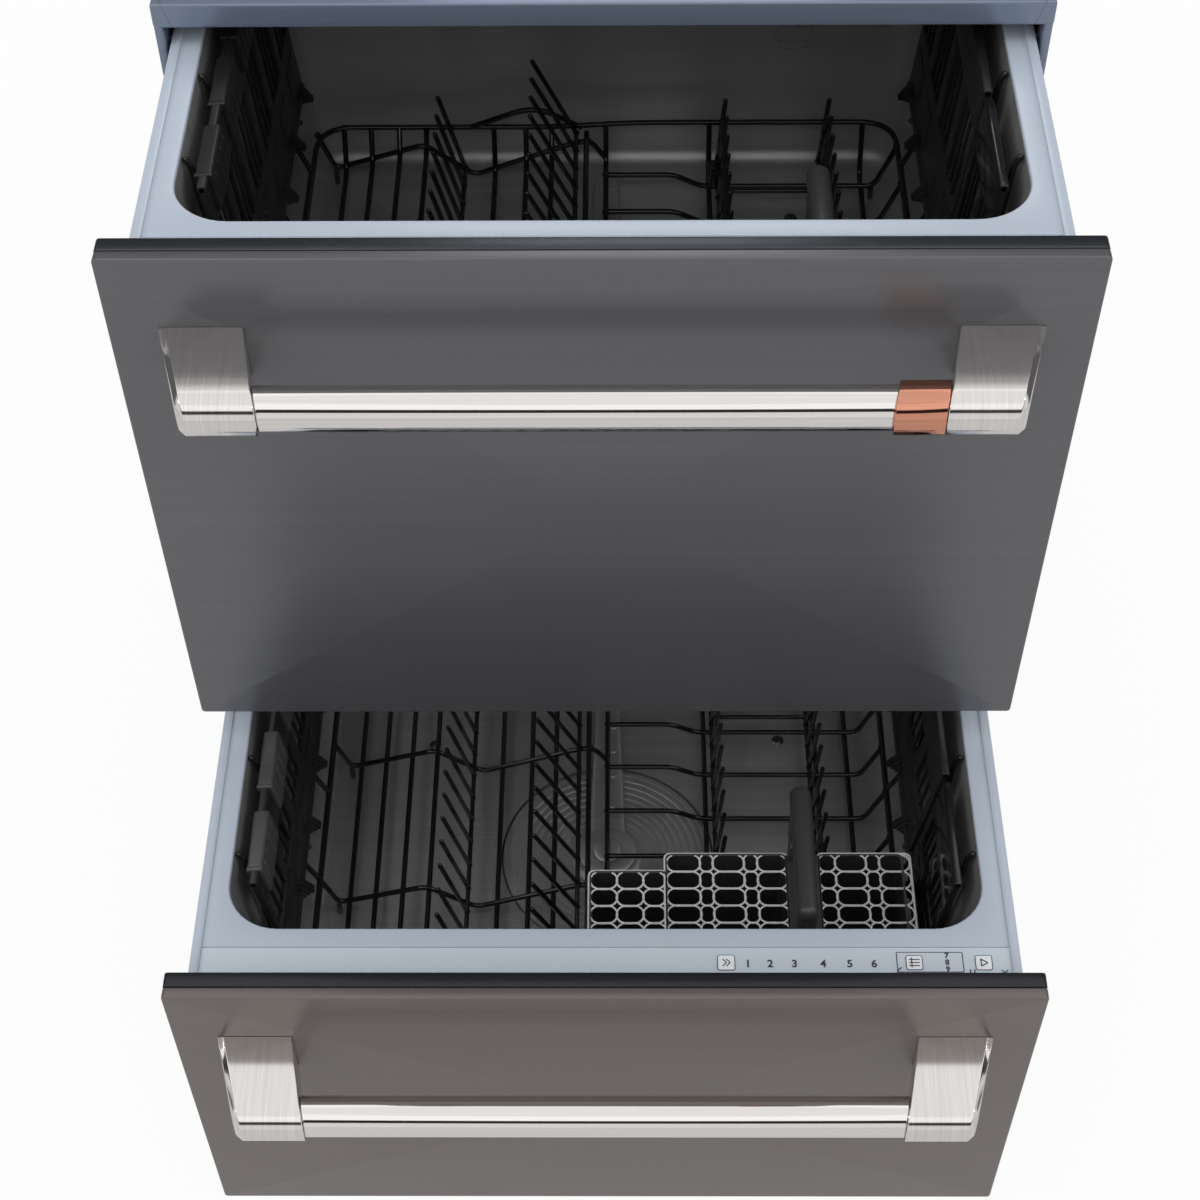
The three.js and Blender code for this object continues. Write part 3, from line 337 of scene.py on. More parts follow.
def drawer_piece(d, name, parts, finish, node="", rides="drawer", slot=None, sharp=38):
    """A drawer's own piece, in the place of the CAD node named after the drawer and `node`."""
    nodes = [f"{d.name}_{node}"] if node else ()
    mesh_piece(f"{d.name}_{name}", parts, finish, f"{d.name}_{rides}", nodes, slot, sharp)


def softened(node, width, finish, segments=2):
    """A merged copy of a CAD node with its edges rounded by `width`, in the node's place."""
    source = frame["nodes"][node]
    mesh = bpy.data.meshes.new(f"{node}_soft")
    reworked(
        mesh, source.data, lambda work: merge_points(work, 2e-5),
        lambda work: bmesh.ops.dissolve_limit(
            work, angle_limit=math.radians(0.6), verts=work.verts, edges=work.edges,
            use_dissolve_boundaries=False,
        ),
    )
    mesh.shade_smooth()
    mesh.set_sharp_from_angle(angle=SOFT_ANGLE)
    piece = new_object(f"{node}_soft", mesh, finish, source["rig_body"], [node])
    bevel = piece.modifiers.new("edges", "BEVEL")
    bevel.width = width * MM
    bevel.segments = segments
    bevel.limit_method = "ANGLE"
    bevel.angle_limit = SOFT_ANGLE
    bevel.use_clamp_overlap = True
    bevel.harden_normals = True
    return piece


# -------- finishes

def shader_group(name, label, kind, default, outputs):
    """A node group with one input; returns it with that input and the node that takes its outputs."""
    tree = bpy.data.node_groups.new(name, "ShaderNodeTree")
    tree.interface.new_socket(label, in_out="INPUT", socket_type=kind).default_value = default
    for output in outputs:
        tree.interface.new_socket(output, in_out="OUTPUT", socket_type="NodeSocketFloat")
    return tree, tree.nodes.new("NodeGroupInput").outputs[label], tree.nodes.new("NodeGroupOutput")


def add_node(tree, kind, values=None, **settings):
    node = tree.nodes.new(kind)
    for key, value in settings.items():
        setattr(node, key, value)
    for key, value in (values or {}).items():
        if isinstance(value, bpy.types.NodeSocket):
            tree.links.new(value, node.inputs[key])
        else:
            node.inputs[key].default_value = value
    return node


def arithmetic(tree, operation, a, b=0.0, clamp=False):
    return add_node(tree, "ShaderNodeMath", {0: a, 1: b}, operation=operation, use_clamp=clamp).outputs[0]


def steepened(tree, value, start, gain):
    """(value - start) times gain, held between 0 and 1."""
    return arithmetic(tree, "MULTIPLY", arithmetic(tree, "SUBTRACT", value, start), gain, clamp=True)


def weighted(tree, a, share, b, rest):
    """a times its share plus b times the rest."""
    a, b = arithmetic(tree, "MULTIPLY", a, share), arithmetic(tree, "MULTIPLY", b, rest)
    return arithmetic(tree, "ADD", a, b)


def mixed(tree, share, a, b):
    return add_node(tree, "ShaderNodeMix", {0: share, 6: a, 7: b}, data_type="RGBA").outputs[2]


def noise(tree, place, size, detail, roughness=0.5, distortion=0.0):
    return add_node(tree, "ShaderNodeTexNoise", {
        "Vector": place, "Scale": size, "Detail": detail, "Roughness": roughness, "Distortion": distortion,
    }).outputs[0]


def object_place(tree):
    return add_node(tree, "ShaderNodeTexCoord").outputs["Object"]


def brushed_group():
    """Fine lines: noise on Object coordinates stretched by a factor for each axis."""
    tree, stretch, made = shader_group(
        "brushed_lines", "Stretch", "NodeSocketVector", (8.0, 900.0, 900.0), ["Tone", "Height"],
    )
    factors = {0: object_place(tree), 1: stretch}
    wide = add_node(tree, "ShaderNodeVectorMath", factors, operation="MULTIPLY").outputs[0]
    fine = noise(tree, wide, 1.0, 3.0, 0.7)
    coarse = noise(tree, wide, 0.23, 2.0)
    tone = steepened(tree, arithmetic(tree, "ADD", fine, coarse), 0.62, 1.35)
    tree.links.new(tone, made.inputs["Tone"])
    tree.links.new(fine, made.inputs["Height"])
    return tree


def blotch_group():
    """Handling marks and dust: two slow noises, one of them sharpened into soft islands."""
    tree, size, made = shader_group("handling_marks", "Size", "NodeSocketFloat", 9.0, ["Tone", "Marks"])
    place = object_place(tree)
    slow = noise(tree, place, size, 3.0, 0.55)
    quick = arithmetic(tree, "MULTIPLY", size, 3.7)
    spots = noise(tree, place, quick, 6.0, 0.65, 0.6)
    marks = steepened(tree, spots, 0.52, 5.0)
    tree.links.new(slow, made.inputs["Tone"])
    tree.links.new(marks, made.inputs["Marks"])
    return tree


def moulded_group():
    """Spark-eroded mould texture: fine noise with shallow cells between its grains."""
    tree, size, made = shader_group(
        "moulded_texture", "Size", "NodeSocketFloat", 1400.0, ["Tone", "Height"],
    )
    place = object_place(tree)
    grains = noise(tree, place, size, 2.0, 0.6)
    cells = add_node(tree, "ShaderNodeTexVoronoi", {"Vector": place, "Scale": size})
    height = arithmetic(tree, "ADD", grains, cells.outputs["Distance"])
    tree.links.new(grains, made.inputs["Tone"])
    tree.links.new(height, made.inputs["Height"])
    return tree


def edge_group():
    """Worn edges: how far a normal rounded over the given radius turns from the true one."""
    tree, radius, made = shader_group("worn_edges", "Radius", "NodeSocketFloat", 0.001, ["Edge"])
    soft = add_node(tree, "ShaderNodeBevel", {"Radius": radius}, samples=3)
    true = add_node(tree, "ShaderNodeNewGeometry").outputs["Normal"]
    dot = add_node(tree, "ShaderNodeVectorMath", {0: soft.outputs[0], 1: true}, operation="DOT_PRODUCT")
    turn = arithmetic(tree, "SUBTRACT", 1.0, dot.outputs["Value"])
    edge = arithmetic(tree, "MULTIPLY", turn, 5.0, clamp=True)
    patchy = noise(tree, object_place(tree), 60.0, 3.0)
    tree.links.new(arithmetic(tree, "MULTIPLY", edge, patchy), made.inputs["Edge"])
    return tree


BRUSHED = brushed_group()
BLOTCHES = blotch_group()
MOULDED = moulded_group()
EDGES = edge_group()


def surface(
    name, slot, dark, light, roughness, metallic, grain, depth, blotch, worn=None, worn_radius=0.0012,
    specular=0.5, coat=0.0,
):
    """A finish and the slot it belongs to. Its colour runs from dark to light over its grain and slow
    blotches, its roughness over a range, and its edges are worn. One number is a grey. The grain is
    brushed lines where it has a stretch for each axis, mould texture where it is one size, and its
    bump is depth mm."""
    dark, light, worn = ((tone,) * 3 if isinstance(tone, float) else tone for tone in (dark, light, worn))
    material = bpy.data.materials.new(name)
    material.use_nodes = True
    tree = material.node_tree
    shader = tree.nodes["Principled BSDF"]
    shader.inputs["Metallic"].default_value = metallic
    shader.inputs["Specular IOR Level"].default_value = specular
    shader.inputs["Coat Weight"].default_value = coat
    shader.inputs["Coat Roughness"].default_value = 0.12
    slow = add_node(tree, "ShaderNodeGroup", {"Size": blotch}, node_tree=BLOTCHES)
    tone = slow.outputs["Tone"]
    if grain:
        group, share = (BRUSHED, 0.7) if isinstance(grain, tuple) else (MOULDED, 0.35)
        fine = add_node(tree, "ShaderNodeGroup", {0: grain}, node_tree=group)
        tone = weighted(tree, fine.outputs["Tone"], share, tone, 1 - share)
    colour = mixed(tree, tone, (*dark, 1.0), (*light, 1.0))
    if worn:
        edge = add_node(tree, "ShaderNodeGroup", {"Radius": worn_radius}, node_tree=EDGES)
        colour = mixed(tree, edge.outputs["Edge"], colour, (*worn, 1.0))
    tree.links.new(colour, shader.inputs["Base Color"])
    mask = weighted(tree, tone, 0.6, slow.outputs["Marks"], 0.4)
    low, high = roughness
    rough = add_node(tree, "ShaderNodeMapRange", {"Value": mask, "To Min": low, "To Max": high})
    tree.links.new(rough.outputs[0], shader.inputs["Roughness"])
    if grain and depth:
        height = fine.outputs["Height"]
        bump = add_node(tree, "ShaderNodeBump", {"Strength": 1.0, "Distance": depth * MM, "Height": height})
        tree.links.new(bump.outputs[0], shader.inputs["Normal"])
    return SimpleNamespace(material=material, slot=slot)


# name, slot, dark, light, roughness, metallic, grain, bump depth in mm, size of the blotches
GRAPHITE_UPPER = surface(
    "graphite_steel_upper", "upper_graphite_steel", (0.122, 0.12, 0.127), (0.155, 0.152, 0.16),
    (0.27, 0.34), 0.5, (3, 500, 1500), 0.0012, 3, worn=(0.2, 0.2, 0.21), worn_radius=0.0008,
)
# The lower front's copy of the same graphite steel is lighter and warmer than the upper's: painted light,
# for the lower front lit more than the upper one.
GRAPHITE_LOWER = surface(
    "graphite_steel_lower", "lower_graphite_steel", (0.152, 0.131, 0.123), (0.184, 0.16, 0.15),
    (0.28, 0.35), 0.52, (3, 500, 1500), 0.0012, 3, worn=(0.26, 0.24, 0.23), worn_radius=0.0008,
)
PANEL_BACK = surface(
    "panel_backing_coated", "black_plastic", (0.058, 0.06, 0.07), (0.075, 0.078, 0.089), (0.24, 0.34),
    0.8, 900, 0.003, 9, worn=(0.12, 0.125, 0.14),
)
# The same coated backing as the upper front's, darkened as painted shade: the lower front's top edge lies
# in the shade of the upper drawer.
PANEL_BACK_LOWER_SHADED = surface(
    "lower_panel_backing_coated", "black_plastic", (0.028, 0.029, 0.033), (0.04, 0.041, 0.047),
    (0.24, 0.34), 0.7, 900, 0.003, 9, worn=(0.06, 0.062, 0.07),
)
SLATE_PAINT = surface(
    "slate_blue_paint", "slate_paint", (0.165, 0.2, 0.27), (0.195, 0.235, 0.31), (0.2, 0.27), 0.3, 500,
    0.006, 3, worn=(0.24, 0.28, 0.36), worn_radius=0.0015, coat=0.12,
)
RIM_PLASTIC = surface(
    "pale_blue_rim_plastic", "pale_blue_plastic", (0.43, 0.485, 0.555), (0.49, 0.545, 0.615),
    (0.2, 0.29), 0.0, 1100, 0.006, 5, worn=(0.55, 0.6, 0.66),
)
STRIP_PLASTIC = surface(
    "pale_blue_strip_plastic", "pale_blue_plastic", (0.54, 0.6, 0.655), (0.6, 0.66, 0.715), (0.3, 0.4),
    0.0, 1100, 0.004, 7,
)
TUB_STEEL = surface(
    "tub_liner_steel", "liner_steel", (0.37, 0.368, 0.362), (0.53, 0.527, 0.52), (0.36, 0.5), 0.66,
    (6, 900, 60), 0.006, 6,
)
FILTER_STEEL = surface(
    "filter_steel", "liner_steel", (0.34, 0.338, 0.332), (0.46, 0.457, 0.45), (0.4, 0.52), 0.6, 420,
    0.05, 20,
)
NICKEL_BAR = surface(
    "brushed_nickel_bar", "satin_nickel", (0.79, 0.755, 0.735), (0.9, 0.87, 0.85), (0.06, 0.1), 1.0,
    (4, 1400, 1400), 0.0006, 12,
)
NICKEL_BRACKET = surface(
    "brushed_nickel_bracket", "satin_nickel", (0.7, 0.665, 0.645), (0.92, 0.885, 0.86), (0.11, 0.16),
    1.0, (1800, 30, 5), 0.001, 4,
)
COPPER = surface(
    "copper_band", "copper_plate", (0.64, 0.27, 0.175), (0.76, 0.36, 0.25), (0.07, 0.12), 1.0,
    (4, 1600, 1600), 0.0006, 30,
)
BLACK_WIRE = surface(
    "nylon_coated_wire", "coated_wire", (0.005, 0.005, 0.0055), (0.011, 0.011, 0.012), (0.1, 0.2), 0.0,
    260, 0.03, 40, specular=0.6,
)
BLACK_PLASTIC = surface(
    "cup_rack_black_plastic", "black_plastic", 0.008, 0.018, (0.32, 0.5), 0.0, 1000, 0.012, 25,
)
GRIP_PLASTIC = surface(
    "grip_satin_plastic", "black_plastic", (0.045, 0.045, 0.046), (0.075, 0.075, 0.077), (0.28, 0.4),
    0.0, 1300, 0.008, 30, worn=0.16,
)
# One grey basket plastic in two copies: the walls darkened as painted shade on their sides, and the lattice
# lightened as painted light from above. The lattice is partly a paler plastic as well.
BASKET_SHADED_PLASTIC = surface(
    "basket_grey_plastic", "basket_plastic", (0.028, 0.028, 0.029), (0.045, 0.045, 0.046), (0.28, 0.4),
    0.0, 1200, 0.008, 25, worn=0.12,
)
LATTICE_LIT_PLASTIC = surface(
    "basket_lattice_plastic", "basket_plastic", (0.56, 0.55, 0.54), (0.72, 0.71, 0.7), (0.35, 0.5), 0.0,
    1200, 0.006, 30,
)
ZINC = surface(
    "zinc_coated_sheet", "zinc_steel", (0.3, 0.315, 0.325), (0.46, 0.475, 0.485), (0.32, 0.5), 0.85, 120,
    0.01, 28, worn=0.6,
)
GREY_PLASTIC = surface(
    "grey_moulded_plastic", "grey_plastic", (0.15, 0.165, 0.175), (0.21, 0.225, 0.235), (0.4, 0.55), 0.0,
    900, 0.015, 18, worn=(0.3, 0.31, 0.32),
)
SCREW_STEEL = surface(
    "floor_screw_steel", "zinc_steel", (0.09, 0.088, 0.085), (0.2, 0.198, 0.192), (0.25, 0.4), 0.9, 300,
    0.02, 60,
)
JOINT_LINE = surface(
    "mitre_joint_shadow", "slate_paint", (0.04, 0.048, 0.062), (0.07, 0.08, 0.1), (0.5, 0.7), 0.0, 700,
    0.01, 9,
)
BLACK_KICK = surface(
    "toe_kick_black_plastic", "black_plastic", (0.012, 0.012, 0.013), (0.024, 0.024, 0.025), (0.4, 0.55),
    0.0, 800, 0.02, 12, worn=0.05,
)
RUBBER = surface("foot_rubber", "foot_rubber", 0.012, 0.025, (0.6, 0.8), 0.0, 700, 0.04, 9)
KEY_WHITE = surface(
    "key_white_print", None, (0.8, 0.82, 0.84), (0.9, 0.92, 0.94), (0.3, 0.4), 0.0, 0, 0.0, 60,
)
LEGEND_INK = surface(
    "legend_dark_print", None, (0.03, 0.034, 0.045), (0.05, 0.055, 0.07), (0.4, 0.5), 0.0, 0, 0.0, 90,
)


# -------- front, handle and controls

def drawer_front(d):
    """The steel pan and its plastic backing, two slabs with soft edges and a joint line between."""
    seam = d.front + PANEL_SKIN
    # The lower front takes a lighter, warmer copy of the graphite steel as painted light and a darker copy
    # of the backing as painted shade.
    steel, coating = (GRAPHITE_UPPER, PANEL_BACK) if d is UPPER else (GRAPHITE_LOWER, PANEL_BACK_LOWER_SHADED)
    pan = rounded_box((-HALF_WIDTH, d.front, d.bottom), (HALF_WIDTH, seam, d.top), 1.4, 3.0, axis=1, arc=5)
    drawer_piece(d, "front_pan", [pan], steel, "front_panel", sharp=60)
    back = rounded_box(
        (-HALF_WIDTH, seam + GAP, d.bottom), (HALF_WIDTH, d.front + PANEL_DEPTH, d.top), 0.9, 2.6, axis=1,
    )
    drawer_piece(d, "front_backing", [back], coating, "panel_backing", sharp=60)


def bracket_inner(reach):
    """Where the bracket's raked inner side stands at that reach from the front."""
    return ROOT_INNER - 9.5 * reach / STAND_OFF


def bracket_outer(reach):
    return ROOT_OUTER - 13.5 * reach / STAND_OFF


def bracket_outline(radius, trim):
    """Side view (reach, height): a flat root, straight flanks and a round nose of that radius."""
    a = math.pi * (0.48 - 0.943 * np.linspace(0, 1, 33))
    nose = np.stack([STAND_OFF + radius * np.cos(a), radius * np.sin(a)], -1)
    t = np.linspace(0, 1, 9)[:-1, None]
    root_top, root_foot = np.array([[0.0, ROOT_TOP - trim]]), np.array([[0.0, trim - ROOT_BOTTOM]])
    top = root_top * (1 - t) + nose[:1] * t
    under = nose[-1:] * (1 - t) + root_foot * t
    return np.concatenate([top, nose, under[1:], root_foot])


def bracket(d, side):
    """The outline carried from the raked inner side to the outer side; near both it shrinks as a
    rounded edge does, and the outer nose edge is chamfered."""
    axis_z = d.top - BELOW_TOP
    shares = np.array([0.0, 0.004, 0.012, 0.02, 0.03, 0.5, 0.905, 0.915, 0.925, 0.985, 0.995, 1.0])
    shrink = np.array([1.0, 0.45, 0.12, 0.0, 0.0, 0.0, 0.0, 0.0, 0.25, 3.1, 3.7, 4.6])
    rings = []
    for share, less in zip(shares, shrink):
        outline = bracket_outline(NOSE_RADIUS - less, min(less, 1.0))
        inner = bracket_inner(outline[:, 0])
        x = inner + (bracket_outer(outline[:, 0]) - inner) * share
        rings.append(np.stack([side * x, d.front - outline[:, 0] - GAP, axis_z + outline[:, 1]], -1))
    return lofted(rings)


def raked_bar(d, radius, left, right, edge=0.5, sides=72):
    """A round bar whose ends lie on raked planes: x = left(reach) to right(reach), with small
    rounded rims where the radius falls by edge (1 - cos)."""
    axis_z = d.top - BELOW_TOP
    a = np.arange(sides) / sides * TAU
    t = np.array([0.0, 0.35, 0.7, 1.0])
    inset = np.concatenate([edge * t, -edge * t[::-1]])
    less = np.concatenate([edge * (1 - t) ** 2, edge * (1 - t[::-1]) ** 2])
    rings = []
    for i, (step, fall) in enumerate(zip(inset, less)):
        reach = STAND_OFF + (radius - fall) * np.cos(a)
        x = (left if i < 4 else right)(reach) + step
        rings.append(np.stack([x, d.front - reach - GAP, axis_z + (radius - fall) * np.sin(a)], -1))
    return rings


def handle(d):
    bar = raked_bar(d, BAR_RADIUS, lambda r: GAP - bracket_inner(r), lambda r: bracket_inner(r) - GAP)
    drawer_piece(d, "handle_rod", [lofted(bar)], NICKEL_BAR, "handle_bar", sharp=50)
    for hand, side in HANDS:
        node = f"handle_{hand}_bracket"
        drawer_piece(d, f"{node}_shaped", [bracket(d, side)], NICKEL_BRACKET, node, sharp=32)
    if d is UPPER:
        ends = (lambda r: bracket_inner(r) - GAP - BAND_LENGTH), (lambda r: bracket_inner(r) - GAP)
        outer = raked_bar(d, NOSE_RADIUS, *ends)
        bore = raked_bar(d, BAR_RADIUS + 0.15, *ends, 0.0)
        drawer_piece(d, "handle_sleeve", [ring_body(outer + bore[::-1])], COPPER, "handle_band", sharp=50)


def numeral(d, text, x, y, size):
    """A number as a thin solid, lying on the strip."""
    name = f"{d.name}_numeral_{text}"
    curve = bpy.data.curves.new(name, "FONT")
    curve.body = text
    curve.size = size * MM
    curve.extrude = 0.05 * MM
    curve.offset = 0.22 * MM
    curve.align_x = "CENTER"
    curve.align_y = "CENTER"
    holder = bpy.data.objects.new("holder", curve)
    bpy.context.scene.collection.objects.link(holder)
    bpy.context.view_layer.update()
    mesh = bpy.data.meshes.new_from_object(holder.evaluated_get(bpy.context.evaluated_depsgraph_get()))
    bpy.data.objects.remove(holder)
    reworked(mesh, mesh, lambda work: merge_points(work, 1e-6))
    mesh.transform(Matrix.Translation((x * MM, (d.front + y) * MM, (d.rim + 0.1) * MM)))
    new_object(name, mesh, LEGEND_INK, f"{d.name}_drawer", ())


def control_strip(d):
    """The strip on top of the drawer behind its front: plate, keys, their marks and numbers."""
    z, key_y = d.rim, d.front + KEY_ROW
    softened(f"{d.name}_control_panel", 0.5, STRIP_PLASTIC)
    pads, ink = [], []
    for x, size in ((84.8, 12.0), (216.0, 11.3), (264.4, 11.5)):
        h = size / 2
        pads.append(rounded_box((x - h, key_y - h, z + 0.02), (x + h, key_y + h, z + 0.3), 0.12, 1.6))
        ink.append(level_loop(x, key_y, size, size, 1.6, 3, z + 0.25, 0.3, 5))
    marks = [
        [(82.6, 49.6), (85.0, 47.0), (82.6, 44.4)], [(85.2, 49.6), (87.6, 47.0), (85.2, 44.4)],
        [(262.6, 49.8), (267.2, 47.0), (262.6, 44.2), (262.6, 49.8)],
        [(212.6, 49.4), (219.6, 49.4)], [(212.6, 47.0), (219.6, 47.0)], [(212.6, 44.6), (219.6, 44.6)],
        [(214.2, 50.6), (214.2, 43.4)],
        [(204.0, 36.5), (204.0, 41.0), (206.5, 43.0)], [(276.5, 37.0), (280.5, 41.0)],
        [(280.5, 37.0), (276.5, 41.0)], [(254.5, 36.6), (254.5, 41.2)], [(257.5, 36.6), (257.5, 41.2)],
    ]
    for mark in marks:
        path = [(x, d.front + y, z + 0.3) for x, y in mark]
        ink.append(tube(bent_path(path, 0.4, 3) if len(path) > 2 else path, 0.42, 6, dome=(45,)))
    ink.append(level_loop(227.0, d.front + 47.5, 46.0, 15.7, 0.8, 3, z + 0.05, 0.34, 5))
    drawer_piece(d, "keys", pads, KEY_WHITE)
    drawer_piece(d, "key_marks", ink, LEGEND_INK)
    for i, x in enumerate((100.0, 115.5, 132.5, 152.5, 171.0, 188.0)):
        numeral(d, str(i + 1), x, NUMBER_ROW, 8.2)
    for i, y in enumerate((52.6, 47.2, 41.8)):
        numeral(d, str(i + 7), 239.0, y, 5.8)


# -------- tub and rim

def tub_surface(d):
    """The tub as one closed grid. Down a row the loop's half sizes, corner and height change: sump,
    floor, fillet, leaning wall, top flange, and back outside by the sheet's thickness. On the
    floor the loop turns from the rounded rectangle into the sump's circle."""
    depth = d.rim - d.floor
    top = depth - RIM_PLATE - GAP

    def wall(height, grow):
        share = np.clip(height / depth, 0, 1)
        return FLOOR_HALF + WALL_LEAN * share + grow, FLOOR_HALF_LENGTH + FLOOR_INSET * share + grow

    def side(grow):
        t = np.linspace(0, math.pi / 2, 9)
        shrink = TUB_FILLET * (1 - np.sin(t))
        rise = TUB_FILLET * (1 - np.cos(t))
        heights = np.concatenate([rise, np.linspace(TUB_FILLET, top + (0.0 if grow else 0.7), 14)[1:]])
        less = np.concatenate([shrink, np.zeros(13)])
        a, b = wall(heights, grow)
        radius = TUB_CORNER - np.minimum(less, TUB_CORNER / 2) + grow
        return a - less, b - less, radius, np.where(heights <= TUB_FILLET, heights - grow, heights)

    def rings(grow):
        a, b, r, z = side(grow)
        body = level_rings(a, b, r, 0.0, TUB_MIDDLE, z, 10, 14)
        edge = body[0]
        angle = np.arctan2(edge[:, 1] - TUB_MIDDLE, edge[:, 0])
        circle = np.stack([
            (SUMP_RADIUS + grow) * np.cos(angle), TUB_MIDDLE + (SUMP_RADIUS + grow) * np.sin(angle),
            np.full(len(angle), -grow),
        ], -1)
        share = np.array([0.0, 0.10, 0.13, 0.16, 0.19, 0.22, 0.4, 0.6, 0.8, 0.95, 1.0])[::-1, None, None]
        dip = np.exp(-((share - 0.16) / 0.022) ** 2) * 1.1
        wave = 0.02 * np.cos(3 * angle)[None, :, None] * (share > 0.05) * (share < 0.3)
        floor = edge[None] * (1 - share - wave) + circle[None] * (share + wave)
        floor[..., 2] -= dip[..., 0] * np.ones_like(floor[..., 2])
        sink = np.array([10.0, 10.0, 9.0, 0.6])
        size = np.array([0.02, 0.985, 1.0, 1.0])
        well = np.repeat(circle[None], 4, axis=0)
        centre = np.array([0.0, TUB_MIDDLE, 0.0])
        well[..., :2] = centre[:2] + (well[..., :2] - centre[:2]) * size[:, None, None]
        well[..., 2] -= sink[:, None]
        return np.concatenate([well, floor[:-1], body])

    inner, outer = rings(0.0), rings(TUB_SHEET)
    lip = level_rings(
        [MOUTH_HALF + 1.5, 281.6, 282.0, 281.6], [TUB_HALF_LENGTH + 1.5, 221.6, 222.0, 221.6],
        [39.0, 38.0, 38.0, 38.0], 0.0, TUB_MIDDLE, [top, top, top - 0.5, top - 1.0], 10, 14,
    )
    return moved(lofted(np.concatenate([inner, lip, outer[::-1]])), (0, d.front, d.floor))


def rail_section(side):
    """The runner's inner member, a C in sheet with its lips turned in, open to the outside."""
    x0, x1, height, lip, sheet = RAIL_INNER, RAIL_OUTER, RAIL_HEIGHT, RAIL_LIP, RAIL_SHEET
    inset = x1 - sheet
    points = [
        (x0, 0), (x1, 0), (x1, lip), (inset, lip), (inset, sheet), (x0 + sheet, sheet),
        (x0 + sheet, height - sheet), (inset, height - sheet), (inset, height - lip), (x1, height - lip),
        (x1, height), (x0, height),
    ]
    return np.array([(side * x, z) for x, z in points])


def drawer_tub(d):
    y0, z0 = d.front, d.floor
    drawer_piece(d, "tub_liner", [tub_surface(d)], TUB_STEEL, "tub", sharp=50)
    rails = []
    for side in (-1, 1):
        section = rail_section(side)
        section[:, 1] += d.rim - RAIL_BELOW_RIM
        rails.append(lofted([np.insert(section, 1, y0 + y, 1) for y in (RAIL_FRONT, RAIL_BACK)]))
    drawer_piece(d, "inner_rails", rails, ZINC, "tub")
    hinge = d.rim - DISPENSER_BELOW_RIM
    top = hinge + DISPENSER_HEIGHT
    wall = y0 + MOUTH_FRONT + FLOOR_INSET * (1 - (top - z0) / (d.rim - z0))
    housing = rounded_box((-190, wall, hinge - 4), (-90, y0 + 90, top), 1.2, 4.0, axis=1, arc=4)
    points, faces = turned([(9, 0), (9, 2.0), (8, 3.2), (0, 3.6)], 0, 0, 28)
    points = np.stack([points[:, 0] - 72.0, wall + 1.0 + points[:, 2], hinge + 24 + points[:, 1]], -1)
    drawer_piece(d, "dispenser_housing", [housing], GREY_PLASTIC, "tub")
    drawer_piece(d, "rinse_aid_cap", [(points, faces)], GREY_PLASTIC, "tub")
    screw = turned([(5.2, -0.4), (5.2, 0.6), (4.2, 1.6), (2.0, 2.0), (1.8, 0.9), (0, 0.9)], 0, 0, 20)
    spots = ((-140.0, 178.0), (-152.0, 400.0), (150.0, 405.0), (146.0, 176.0))
    drawer_piece(d, "floor_screws", [moved(screw, (x, y0 + y, z0)) for x, y in spots], SCREW_STEEL, "tub")
    if d is UPPER:
        a = np.linspace(0, TAU, 29)[:-1]
        ring = np.stack([15 * np.cos(a), 15 * np.sin(a), np.zeros(28)], -1)
        slot, vent = level_loop(0, 0, 27.0, 14.0, 2.5, 3, 0, 0.7, 5), []
        for points, faces in (slot, tube(ring, 0.6, 6, closed=True)):
            height = 120.0 + points[:, 1]
            y = y0 + MOUTH_BACK - FLOOR_INSET * (1 - height / (d.rim - z0)) - 0.2 + points[:, 2]
            vent.append((np.stack([150.0 + points[:, 0], y, z0 + height], -1), faces))
        drawer_piece(d, "rear_vent", vent, TUB_STEEL, "tub")


def tub_rim(d):
    """The moulded frame round the mouth: loops run from under the mouth's edge over its round lip,
    across the flat, down the outer edge and back under; a raised border goes round three sides."""
    front = STRIP_BACK + GAP
    outer_b = (RIM_BACK - front) / 2
    outer_y = (RIM_BACK + front) / 2
    share = np.array([0.0, 0, 0, 0, 0, 1, 1, 1, 1, 1])
    z = np.array([-3.0, -1.6, -0.7, -0.2, 0.0, 0.0, -0.15, -0.6, -1.4, -3.0])
    out = np.array([0.0, 0.0, 0.25, 0.8, 1.6, -1.0, -0.4, -0.1, 0.0, 0.0])
    a = MOUTH_HALF + (RIM_HALF - MOUTH_HALF) * share + out
    b = TUB_HALF_LENGTH + (outer_b - TUB_HALF_LENGTH) * share + out
    r = TUB_CORNER + (4.0 - TUB_CORNER) * share + np.where(share == 0, out, 0)
    y = TUB_MIDDLE + (outer_y - TUB_MIDDLE) * share
    plate = ring_body(level_rings(a, b, r, 0.0, y + d.front, z + d.rim, 10, 4))
    edge = RIM_HALF - 3.5
    path = bent_path([
        (-edge, 20.4, 0), (-edge, RIM_BACK - 3.5, 0), (edge, RIM_BACK - 3.5, 0), (edge, 20.4, 0),
    ], 7.0, 7) + [0, d.front, d.rim]
    section = np.array([
        (-3.5, -6.5), (-3.5, 1.0), (-3.2, 1.7), (-2.4, 2.0), (2.4, 2.0), (3.2, 1.5), (3.5, 0.6),
        (3.5, -2.9), (0.4, -2.9), (-0.6, -6.5),
    ]) * -1
    border = carried(section, path)
    drawer_piece(d, "rim_frame", [plate, border], RIM_PLASTIC, "tub_rim")


